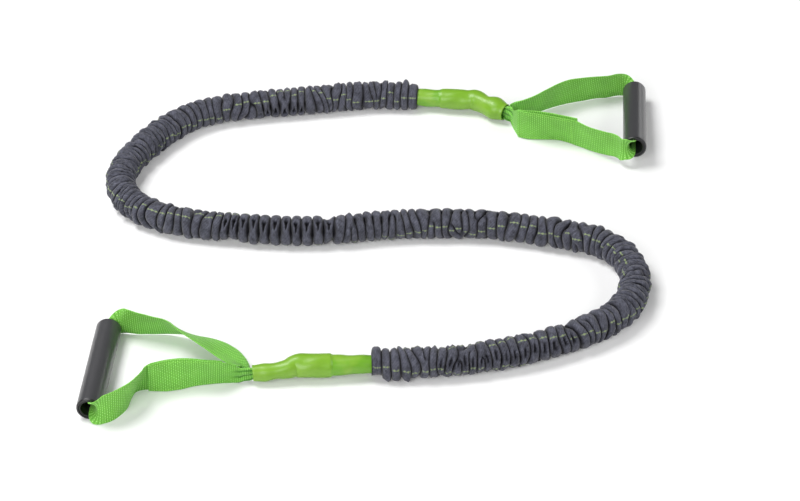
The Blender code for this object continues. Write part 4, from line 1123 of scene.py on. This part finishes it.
STITCHES_IN_FROM_END = 3
STITCHES_IN_FROM_EDGE = 2
STITCH_LIFT = 0.1 * MM
LAP_STATIONS_AT_MOST = 60
OTHER_LAP_STATIONS = 40
STITCH_SIZES = {"Stitch Pitch": 2.9 * MM, "Stitch Length": 2.2 * MM, "Thread Width": 0.6 * MM}
STITCH_THREAD = ((0.30, 0.68, 0.10), 900.0, 0.5, 0.3, 0.5, 0.7, 0.2)

# Along each branch: x, y and z of the webbing's middle in mm, its height in mm, its lean in
# degrees to the right of its heading, and how gathered it is, from 0 to 1
LEFT_LOWER = [
    (-150.5, -212, 9, 16, 0, 1), (-158, -212.8, 11.6, 22, -4, 0.6),
    (-167, -214.6, 15, 29.5, -11, 0.2), (-180.8, -218.2, 17.6, 35, -14, 0),
    (-193.2, -219.2, 18.1, 35, -7, 0), (-206.1, -221.6, 18.2, 35, 3, 0),
    (-218.9, -224.2, 18.2, 35, 4, 0), (-235.9, -227, 17.9, 35, -10, 0),
    (-243.5, -230.5, 16.8, 35, -21, 0), (-247.5, -240, 17.3, 35, -18, 0),
    (-252.7, -254.3, 18, 35, -9, 0), (-261.5, -265, 18, 35, -4, 0),
    (-269.5, -269.6, 17, 34.5, -2, 0), (-274.9, -270, 15.2, 33.5, 0, 0),
]
LEFT_UPPER = [
    (-265.8, -142.4, 15.2, 33.5, 5, 0), (-260.5, -143.3, 16.8, 34.5, 11, 0),
    (-250, -143.6, 17.4, 35, 17, 0), (-234, -145.4, 16.6, 35, 25, 0),
    (-222.5, -147.5, 16.8, 35, 30, 0), (-213.8, -151.3, 17.4, 35, 37, 0),
    (-205.5, -156.6, 17.2, 35, 46, 0), (-196.6, -162.3, 16.6, 34.5, 53, 0),
    (-184.5, -168, 14.5, 33, 64, 0.1), (-174.6, -173.2, 12.7, 30.5, 72, 0.2),
    (-163, -182.6, 11, 28, 77, 0.3), (-154.4, -193.4, 10.4, 25.5, 70, 0.5),
    (-148.8, -203, 10.2, 22.5, 50, 0.8), (-145.9, -207.4, 9.4, 16, 16, 1),
]
RIGHT_LOWER = [
    (119.6, 223.8, 10.4, 19.6, 0, 0.8), (121.6, 214.2, 13.7, 26, 0, 0.3),
    (124.5, 204, 17.7, 33.5, 1, 0.1), (133, 199.6, 18, 35, 4, 0), (143.1, 197.8, 18.1, 35, 6, 0),
    (164.9, 194.7, 17.7, 35, 14, 0), (174, 191, 17.8, 35, 13, 0),
    (185.6, 184.6, 18, 35, 9, 0), (198.9, 173.6, 17.8, 34.5, 12, 0),
    (214.9, 163.6, 18.8, 32.2, 9, 0), (222, 158.5, 20.4, 30.2, 6, 0),
    (227.5, 153.5, 21.5, 28.5, 3, 0), (230.5, 149.9, 22.2, 28, 0, 0),
]
RIGHT_UPPER = [
    (238, 277, 13.7, 30.5, -4, 0), (232.7, 276.7, 14.9, 31.5, -8, 0),
    (224, 275.2, 16.4, 33.5, -13, 0), (212.9, 272.6, 17.5, 35, -16, 0),
    (196.5, 268.5, 17.8, 35, -12, 0), (179, 263.3, 17.9, 35, -10, 0),
    (165.5, 256, 17.8, 35, -13, 0), (152.2, 248, 16.6, 33, -15, 0.1),
    (140, 243.8, 14.2, 28.5, -18, 0.3), (129.5, 241, 12.4, 23, -12, 0.5),
    (120.5, 238.6, 11.4, 20, -4, 0.6), (116.2, 235.2, 11, 17, 0, 0.9),
]
# The angle that the webbing is curled through at a branch's last two stations before a rim
NEAR_CURLS = (0.35, 0.9)
FAR_CURLS = (1.2, 0.7)
# Round a rim and into the bore: how far from the handle's axis, how deep past its end and how
# high above it the webbing's middle is and its height, all in mm, and the angle of its curl
RIM_TURN = [
    (10.6, -1.9, 1.2, 31.5, 1.5), (9.0, -1.0, 0.4, 30.5, 2.3), (7.9, 0.6, 0, 28.5, 2.9),
    (7.2, 2.8, 0, 24.5, 3.3), (7.0, 6.0, 0, 24.5, 3.5), (7.0, 10.0, 0, 24.5, 3.5),
]


class HandlePlace:
    """Where a handle lies: its middle, its two ends, its axis and the way to its boot."""

    def __init__(self, side, x_mm, y_mm, heading, lift):
        flat = Vector((math.cos(heading), math.sin(heading), 0.0))
        run = math.sqrt(HANDLE_LENGTH**2 - lift**2)
        self.side = side
        self.axis = (flat * run - UP * lift).normalized()
        self.middle = plan(x_mm, y_mm, GRIP_RADIUS + lift / 2)
        self.near = self.middle - self.axis * HANDLE_LENGTH / 2
        self.far = self.middle + self.axis * HANDLE_LENGTH / 2
        across = self.axis.cross(UP).normalized()
        self.to_boot = across if side == "left" else -across


def branch_rows(rows, shifts, curls, raised=None):
    """Rows of station numbers: place, height, lean, curl, layer shift and gather."""
    lifts = raised or [0.0] * len(rows)
    return [
        (*plan(x, y, (z + lift) * MM), height * MM, math.radians(lean), curl, shift * LAYER_OFFSET,
         gather)
        for (x, y, z, height, lean, gather), shift, curl, lift in zip(rows, shifts, curls, lifts)
    ]


def wrap_rows(handle, near_height, far_height):
    """The webbing round the near rim, through the bore and round the far rim."""
    near, far = (
        [(*(end + handle.to_boot * reach * MM + inward * depth * MM + UP * rise * MM),
          min(height, tallest) * MM, 0.0, curl, 0.0, 0.0)
         for reach, depth, rise, height, curl in RIM_TURN]
        for end, inward, tallest in ((handle.near, handle.axis, near_height),
                                     (handle.far, -handle.axis, far_height))
    )
    centre = (*(handle.middle + handle.to_boot * WEBBING_IN_BORE), *near[-1][3:])
    return near + [centre] + far[::-1]


def tail_rows(axis, pin_at, mouth_out, lower_side, mouth_height):
    """In at the mouth from the upper branch, round the pin, and out to the lower branch."""
    length = lengths_along(axis)[-1] - SLEEVE_OVER_BOOT
    last = length + TAIL_PAST_MOUTH
    run = last - pin_at - PIN_TURN_RADIUS
    leg = [(last - run * k / LEG_CUTS, APART + (PIN_TURN_RADIUS - APART) * (k / LEG_CUTS) ** 2)
           for k in range(LEG_CUTS)]
    turns = [math.radians(a) for a in PIN_TURN_DEGREES]
    loop = [(pin_at + PIN_TURN_RADIUS * math.cos(a), PIN_TURN_RADIUS * math.sin(a)) for a in turns]
    _, right, _ = frames_of(axis)
    made = []
    for s, side in leg + loop + [(s, -side) for s, side in reversed(leg)]:
        place = points_at(axis, [min(s, length) + SLEEVE_OVER_BOOT])[0]
        row = round((s - TAIL_SIDE_FROM + SLEEVE_OVER_BOOT) / MM)
        aside = right[int(np.clip(row, 0, len(right) - 1))]
        place = place - aside * side * lower_side
        if s > length:
            place = place + np.array(mouth_out) * (s - length)
        opened = float(np.clip(1 - (last - s) / run, 0, 1))
        height = TAIL_HEIGHT + (mouth_height - TAIL_HEIGHT) * opened
        made.append((*place, height, 0.0, 0.0, 0.0, 1.0))
    return made


def smooth_rows(rows, cuts):
    """More stations on a smooth curve through the given ones, lifted clear of the floor."""
    padded = padded_ends(np.array(rows))
    fine = []
    for i in range(1, len(padded) - 2):
        count = max(2, math.ceil(np.linalg.norm(padded[i + 1, :3] - padded[i, :3]) / cuts))
        shares = np.arange(count) / count
        spots = curve_between(*padded[i - 1 : i + 3, :3], shares)
        rest = np.outer(1 - shares, padded[i, 3:]) + np.outer(shares, padded[i + 1, 3:])
        fine.append(np.hstack([spots, rest]))
    fine = np.vstack([*fine, padded[-2]])
    beside, evenly = STATIONS_AVERAGED // 2, np.ones(STATIONS_AVERAGED) / STATIONS_AVERAGED
    for column in range(3, 8):
        values = fine[:, column]
        ends = np.concatenate([[values[0]] * beside, values, [values[-1]] * beside])
        fine[:, column] = np.convolve(ends, evenly, "valid")
    height, lean, curl = fine[:, 3], fine[:, 4], np.maximum(fine[:, 5], LEAST_CURL)
    half = (height / curl + WEBBING_THICKNESS / 2) * np.sin(np.minimum(curl, math.pi) / 2)
    sunk = height / curl * (1 - np.cos(curl / 2)) + WEBBING_THICKNESS / 2
    lowest = half * np.abs(np.cos(lean)) + sunk * np.abs(np.sin(lean)) + STRAP_FLOOR_GAP
    fine[:, 2] = np.maximum(fine[:, 2], lowest)
    return fine


def face_outward(obj, sharp_from):
    """Turns a closed mesh's faces outward, and shades it smooth up to an angle in degrees."""
    shape = bmesh.new()
    shape.from_mesh(obj.data)
    bmesh.ops.recalc_face_normals(shape, faces=shape.faces)
    shape.to_mesh(obj.data)
    shape.free()
    obj.data.shade_smooth()
    obj.data.set_sharp_from_angle(angle=math.radians(sharp_from))


def webbing_strip(name, rows, curl_side):
    """A strip of webbing through the stations, with rounded selvedges and sealed cut ends."""
    middle = rows[:, :3]
    height, lean, curl, layer, gather = (rows[:, column][:, None] for column in range(3, 8))
    along = np.gradient(middle, axis=0)
    along[:, 2] = 0.0
    along /= np.linalg.norm(along, axis=1)[:, None]
    left = np.stack([-along[:, 1], along[:, 0], np.zeros(len(rows))], axis=1)
    across = np.array([[0.0, 0.0, 1.0]]) * np.cos(lean) - left * np.sin(lean)
    normal = np.cross(across, along)
    out = normal * curl_side
    n, cells = len(rows), WEBBING_CELLS
    side = np.arange(cells + 1) / cells - 0.5
    t = side[None, :]
    into_selvedge = ((np.abs(t) - 0.5 + SELVEDGE_SHARE) / SELVEDGE_SHARE).clip(0, 1)
    full = SELVEDGE_THINNEST + (1 - SELVEDGE_THINNEST) * (1 - into_selvedge**2) ** 0.5
    thick = WEBBING_THICKNESS / 2 * full
    bend = np.maximum(curl, LEAST_CURL)
    radius = height / bend
    run = lengths_along(middle)
    ripple = np.sin(2 * math.pi * RIPPLES_ACROSS * t + run[:, None] / RIPPLE_DRIFT)
    ripple = RIPPLE_DEPTH * gather * ripple * np.minimum(height / RIPPLE_FULL_HEIGHT, 1.0)
    two_faces = []
    for sign in (1, -1):
        reach = radius + sign * thick
        point = middle[:, None, :] + across[:, None, :] * (reach * np.sin(t * bend))[:, :, None]
        point = point + out[:, None, :] * (radius - reach * np.cos(t * bend))[:, :, None]
        two_faces.append(point + normal[:, None, :] * (layer + ripple)[:, :, None])
    ring = np.concatenate([two_faces[0], two_faces[1][:, ::-1]], axis=1)
    ring[:, :, 2] = np.maximum(ring[:, :, 2], STRAP_FLOOR_GAP)
    size = 2 * (cells + 1)
    grid = np.arange(n * size).reshape(n, size)
    quads = [np.stack([a, np.roll(a, 1), np.roll(b, 1), b], axis=1) for a, b in zip(grid, grid[1:])]
    for i, turn in ((0, 1), (n - 1, -1)):
        a, b = grid[i][: cells + 1], grid[i][cells + 1 :][::-1]
        quads.append(np.stack([a[:-1], a[1:], b[1:], b[:-1]], axis=1)[:, ::turn])
    obj = mesh_object(name, ring, np.concatenate(quads))
    both_sides = np.concatenate([side, side[::-1]])
    corners = corner_points(obj.data)
    put_uv(obj.data, "webbing_run", run[corners // size], both_sides[corners % size] * WEBBING_WIDTH)
    put(obj.data, "edge_far", "FLOAT", np.tile(np.abs(both_sides) * 2, n))
    put(obj.data, "gather", "FLOAT", np.repeat(rows[:, 7], size))
    face_outward(obj, WEBBING_SHARP_FROM)
    return obj


def strap_rows(axis, pin_at, handle, lower, upper, outer, outer_from, inner_to, inner_raise):
    """The whole strap: lap end, near branch, handle, far branch, pin, and the other lap end."""
    mouth_out = Vector(axis[-1] - axis[-3]).normalized()
    pivot = Vector(axis[-1]) + mouth_out * PIVOT_REACH
    flat_out = Vector((mouth_out.x, mouth_out.y, 0.0)).normalized()
    lower_side = -1 if handle.side == "left" else 1
    aside = flat_out.cross(UP) * lower_side * APART
    lapped = range(inner_to + 1)
    layers = [outer if i in lapped else 0.0 for i in range(len(lower))]
    flat = [STRAP_CURL] * max(len(lower), len(upper))
    near = branch_rows(lower, layers, flat[: len(lower) - 2] + [*NEAR_CURLS])[outer_from:]
    far = branch_rows(upper, [0.0] * len(upper), [*FAR_CURLS] + flat[: len(upper) - 2])
    spots = [pivot - flat_out * back * NOSE_RADIUS for back in NOSE_STATIONS]
    at_nose = (NOSE_HEIGHT[handle.side], 0.0, 0.0, 0.0, 1.0)
    tail = tail_rows(axis, pin_at, mouth_out, lower_side, MOUTH_HEIGHT[handle.side])
    shifts = [0.0 if i < outer_from else -outer for i in lapped]
    raised = [inner_raise * min(max(i - outer_from, 0), 2) / 2 for i in lapped]
    rows = near + wrap_rows(handle, lower[-1][3], upper[0][3]) + far
    rows += [(*(spot - aside), *at_nose) for spot in spots] + tail
    rows += [(*(spot + aside), *at_nose) for spot in spots[::-1]]
    rows += branch_rows(lower[: inner_to + 1], shifts, flat, raised)
    return smooth_rows(rows, STATION_STEP), pivot, flat_out


webbing_cloth, tree, shader = finish_of("webbing_weave", roughness=0.62, specular_ior_level=0.3,
                                        sheen_weight=0.12, sheen_roughness=0.4)
run = wire(tree, "ShaderNodeUVMap", uv_map="webbing_run")
weave = wire(tree, "ShaderNodeGroup", {
    "Vector": run, "Along Pitch": 2.1 * MM, "Across Pitch": 1.5 * MM, "Unevenness": 0.22,
}, None, node_tree=WEAVE)
place = object_place(tree)
mottle = noise(place, 70.0, 3.0)
fibre = noise(place, 2600.0, 1.0)
# Painted shade and painted highlight: the weave's low places take the shade colour, and the tops of
# the threads that lie over take a lighter highlight colour.
colour = blended(stepped(weave["Height"], 0.3, 0.85), WEBBING_SHADE_COLOUR, WEBBING_COLOUR)
knuckle_highlight = stepped(weave["Height"], 0.72, 0.98) * weave["Over"] * (weave["Fleck"] * 0.5 + 0.5)
colour = blended(knuckle_highlight, colour, WEBBING_KNUCKLE_HIGHLIGHT_COLOUR)
colour = shaded(colour, (mottle * 0.34 + 0.83) * (fibre * 0.2 + 0.9))
edge = attribute(tree, "edge_far")
colour = blended(stepped(edge, 0.93, 0.99) * 0.5, colour, SELVEDGE_COLOUR)
along, across, _ = parts(run)
drift = along * (2 * math.pi / PLEAT_DRIFT) + mottle * 5.0
folds = maths("SINE", across * (2 * math.pi / PLEAT_WIDTH) + drift)
# Painted shade: where the webbing is gathered, the folds of its pleats are darkened toward a
# near-black green.
pleat = stepped(folds, 0.1, 1.0) * stepped(attribute(tree, "gather"), 0.45, 1.0)
feed(shader, "Base Color", blended(pleat * 0.8, colour, PLEAT_SHADE_COLOUR))
bumped(shader, pleat * -2.5 + (fibre * 0.25 + weave["Height"]), 0.7, 0.3 * MM)


def stitch_tree():
    """Geometry Nodes that sew a row of short stitches along a line on the webbing."""
    tree, given, out = new_group("lap_sewing", "GeometryNodeTree", {
        "Geometry": "Geometry", "Stitch Pitch": 3.0 * MM, "Stitch Length": 2.0 * MM,
        "Thread Width": 0.6 * MM, "Thread": "Material",
    }, {"Geometry": "Geometry"})
    line = wire(tree, "GeometryNodeMeshToCurve", {"Mesh": given["Geometry"]})
    line = wire(tree, "GeometryNodeResampleCurve", {"Curve": line, "Length": given["Stitch Pitch"]},
                mode="LENGTH")
    bead = wire(tree, "GeometryNodeMeshUVSphere", {"Segments": 6, "Rings": 4, "Radius": 0.5})
    size = joined(given["Stitch Length"], given["Thread Width"], given["Thread Width"])
    turn = wire(tree, "FunctionNodeAlignRotationToVector",
                {"Vector": wire(tree, "GeometryNodeInputTangent")}, axis="X")
    turn = wire(tree, "FunctionNodeAlignRotationToVector",
                {"Rotation": turn, "Vector": named(tree, "FLOAT_VECTOR", "outward")},
                axis="Z", pivot_axis="X")
    sewn = wire(tree, "GeometryNodeInstanceOnPoints",
                {"Points": line, "Instance": bead, "Rotation": turn, "Scale": size})
    end_group(out, sewn, given["Thread"])
    return tree


def lap_stitches(name, strap, rows):
    """A box of stitches on each outer face of the lapped webbing."""
    half = WEBBING_CELLS + 1
    places = np.array([v.co for v in strap.data.vertices]).reshape(len(rows), 2 * half, 3)
    two_faces = (places[:, :half], places[:, : half - 1 : -1])
    middle = rows[:, :3]
    points, outward, edges = [], [], []
    for start, step, other_end in ((0, 1, -1), (len(rows) - 1, -1, 0)):
        lap = middle[start : start + LAP_STATIONS_AT_MOST * step : step]
        to_other = np.linalg.norm(lap - middle[other_end], axis=1)
        layer = start + step * np.arange(STITCHES_IN_FROM_END,
                                         np.argmin(to_other) - STITCHES_IN_FROM_END)
        other = middle[other_end - step * np.arange(OTHER_LAP_STATIONS)]
        apart = [
            np.linalg.norm(face[layer, half // 2][:, None] - other[None], axis=2).min(axis=1).mean()
            for face in two_faces
        ]
        shown = int(apart[1] > apart[0])
        low, high = STITCHES_IN_FROM_EDGE, half - 1 - STITCHES_IN_FROM_EDGE
        across = np.arange(low, high + 1)
        box = [(i, low) for i in layer] + [(layer[-1], c) for c in across[1:]]
        box += [(i, high) for i in layer[::-1][1:]] + [(layer[0], c) for c in across[::-1][1:-1]]
        begin = len(points)
        for i, c in box:
            way = two_faces[shown][i, c] - two_faces[1 - shown][i, c]
            outward.append(way / np.linalg.norm(way))
            points.append(two_faces[shown][i, c] + outward[-1] * STITCH_LIFT)
        edges += [(begin + k, begin + (k + 1) % len(box)) for k in range(len(box))]
    obj = mesh_object(name, points, [], edges)
    put(obj.data, "outward", "FLOAT_VECTOR", np.array(outward))
    by_nodes(obj, SEWING, {**STITCH_SIZES, "Thread": webbing_thread})
    return obj


webbing_thread = grained("webbing_thread", STITCH_THREAD)
SEWING = stitch_tree()

left_place = HandlePlace("left", -283.5, -205.2, math.radians(85.9), 0.0)
right_place = HandlePlace("right", 247.2, 212.5, math.radians(86.4), 10.4 * MM)
# Each strap: its handle, the body it leaves, its boot's axis and pin, its branches, which way its
# outer lap is shifted, the stations where the outer lap starts and the inner lap ends, and how far
# the inner lap is raised in mm
STRAPS = (
    (left_place, "tube", left_axis, LEFT_PIN_AT, LEFT_LOWER, LEFT_UPPER, -1, 2, 7, 0.3),
    (right_place, "right_end", right_axis, RIGHT_PIN_AT, RIGHT_LOWER, RIGHT_UPPER, -1, 2, 7, 2.0),
)
for place, from_body, axis, pin_at, *layout in STRAPS:
    rows, pivot, flat_out = strap_rows(axis, pin_at, place, *layout)
    strap = webbing_strip(place.side + "_webbing", rows, 1 if place.side == "left" else -1)
    sewing = lap_stitches(place.side + "_lap_stitches", strap, rows)
    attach(sewing, place.side + "_loop")
    strap.data.materials.append(webbing_cloth)
    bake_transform(strap)
    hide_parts(place.side + "_strap", place.side + "_strap_tail")

# Handles
# Each handle is a satin near-black moulded grip over a thinner black core tube, with rounded end
# rims. The webbing runs loose through the core, so the handle turns on it.

GRIP_WALL = 2.0 * MM
GRIP_EDGE = 1.2 * MM
CORE_OUTER = 9.75 * MM
CORE_SETBACK = 0.5 * MM
CORE_EDGE = 0.35 * MM
HANDLE_SIDES = 72
HANDLE_SHARP_FROM = 40
GRIP_CUTS = 25
GRIP_BORE_EDGE = 4.0 * MM
RIM_DEGREES = range(0, 91, 15)
RIM_DARK_FROM = 1.5 * MM
RIM_DARK_TO = 0.7 * MM
GRIP_PLASTIC = ((0.054, 0.054, 0.058), 650.0, 0.12, 0.4, 0.24, 0.44, 0.22)
CORE_PLASTIC = ((0.012, 0.012, 0.013), 500.0, 0.3, 0.3, 0.3, 0.5, 0.15)
GRIP_END_COLOUR = (0.010, 0.010, 0.012)


def turned_tube(name, handle, outline, sides):
    """A closed tube turned about a handle's axis from (radius, height) points round its wall."""
    second = handle.axis.cross(handle.to_boot)
    angle = ring_angles(sides)
    around = np.outer(np.cos(angle), handle.to_boot) + np.outer(np.sin(angle), second)
    rings = [np.array(handle.middle) + np.array(handle.axis) * h + around * r for r, h in outline]
    obj = closed_rings(name, rings)
    put(obj.data, "height", "FLOAT", np.repeat([h for _, h in outline], sides))
    face_outward(obj, HANDLE_SHARP_FROM)
    return obj


def grip_outline():
    half, bore = HANDLE_LENGTH / 2, GRIP_RADIUS - GRIP_WALL
    quarter = [math.radians(a) for a in RIM_DEGREES]
    corner = [(GRIP_RADIUS - GRIP_EDGE * (1 - math.cos(a)), half - GRIP_EDGE * (1 - math.sin(a)))
              for a in quarter]
    heights = np.linspace(-half + GRIP_EDGE, half - GRIP_EDGE, GRIP_CUTS)[1:-1]
    body = [(GRIP_RADIUS, h) for h in heights]
    lower = [(r, -h) for r, h in reversed(corner)]
    inner = [(bore, h) for h in (half, half - GRIP_BORE_EDGE, 0.0, GRIP_BORE_EDGE - half, -half)]
    return lower + body + corner + inner


def core_outline():
    half, e = HANDLE_LENGTH / 2 - CORE_SETBACK, CORE_EDGE
    return [
        (CORE_OUTER, e - half), (CORE_OUTER, 0.0), (CORE_OUTER, half - e), (CORE_OUTER - e, half),
        (CORE_BORE + e, half), (CORE_BORE, half - e), (CORE_BORE, 0.0), (CORE_BORE, e - half),
        (CORE_BORE + e, -half), (CORE_OUTER - e, -half),
    ]


grip_plastic = grained("grip_plastic", GRIP_PLASTIC, specular_ior_level=0.7)
tree = grip_plastic.node_tree
shader = tree.nodes["Principled BSDF"]
to_rim = maths("ABSOLUTE", attribute(tree, "height"))
end_face = stepped(to_rim, HANDLE_LENGTH / 2 - RIM_DARK_FROM, HANDLE_LENGTH / 2 - RIM_DARK_TO)
ground = Term(tree, shader.inputs["Base Color"].links[0].from_socket)
feed(shader, "Base Color", blended(end_face, ground, GRIP_END_COLOUR))
core_plastic = grained("core_plastic", CORE_PLASTIC)
for handle in (left_place, right_place):
    for part, outline, finish in (("grip", grip_outline(), grip_plastic),
                                  ("core", core_outline(), core_plastic)):
        piece = turned_tube(handle.side + "_" + part, handle, outline, HANDLE_SIDES)
        piece.data.materials.append(finish)
        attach(piece, handle.side + "_handle")
        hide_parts(handle.side + "_handle_" + part)
        part + "_plastic"

# Floor and light
# A plain white floor under a large soft lamp above the left side and a little behind, a broad one
# on the near left side, a weak one on the right, a small low one behind the right, and even light.

FLOOR_REACH = 6.0
FLOOR_COLOUR = (0.82, 0.82, 0.82, 1.0)
GLOW_FROM = 0.9
GLOW_TO = 2.4
GLOW_LEAST = 0.14
GLOW_RISE = 0.8
WORLD_LIGHT = 0.3
WORLD_SEEN_RISE = 0.7
LAMPS = (
    ("key_lamp", (-1.4, 0.5, 2.65), 1.5, 84.0), ("near_lamp", (-1.45, -2.9, 1.9), 2.2, 86.0),
    ("side_lamp", (2.5, -0.5, 1.5), 1.6, 34.0), ("rim_lamp", (0.9, 1.2, 0.35), 0.4, 1.0),
)


def background_seen(tree):
    """1 for what the camera sees, straight or by glossy and clear things, and 0 for the rest."""
    path = wire(tree, "ShaderNodeLightPath", output=None)
    reflected = maths("MAXIMUM", path["Is Glossy Ray"], path["Is Transmission Ray"])
    return maths("MAXIMUM", path["Is Camera Ray"], reflected)


corners = [(x * FLOOR_REACH, y * FLOOR_REACH, 0) for x, y in ((-1, -1), (1, -1), (1, 1), (-1, 1))]
floor = mesh_object("floor", corners, [(0, 1, 2, 3)])
floor_paint, tree, shader = finish_of("floor_paint", base_color=FLOOR_COLOUR, roughness=0.9,
                                      specular_ior_level=0.1)
from_part = wire(tree, "ShaderNodeVectorMath", {0: object_place(tree)}, 1, operation="LENGTH")
strength = stepped(from_part, GLOW_FROM, GLOW_TO) * GLOW_RISE + GLOW_LEAST
glow = wire(tree, "ShaderNodeEmission", {"Color": (1.0, 1.0, 1.0, 1.0), "Strength": strength})
paint = Term(tree, shader.outputs[0])
plain_glow = wire(tree, "ShaderNodeAddShader", {0: paint, 1: glow})
shown = wire(tree, "ShaderNodeMixShader", {0: background_seen(tree), 1: paint, 2: plain_glow})
feed(tree.nodes["Material Output"], "Surface", shown)
floor.data.materials.append(floor_paint)
for name, place, size, power in LAMPS:
    lamp = new_object(name, bpy.data.lights.new(name, "AREA"))
    lamp.data.shape, lamp.data.size, lamp.data.energy = "SQUARE", size, power
    lamp.location = place
    lamp.rotation_euler = Vector(place).to_track_quat("Z", "Y").to_euler()
world = bpy.data.worlds.new("studio")
bpy.context.scene.world = world
world.use_nodes = True
level = background_seen(world.node_tree) * WORLD_SEEN_RISE + WORLD_LIGHT
feed(world.node_tree.nodes["Background"], "Strength", level)
bpy.context.scene.view_settings.view_transform = "Standard"
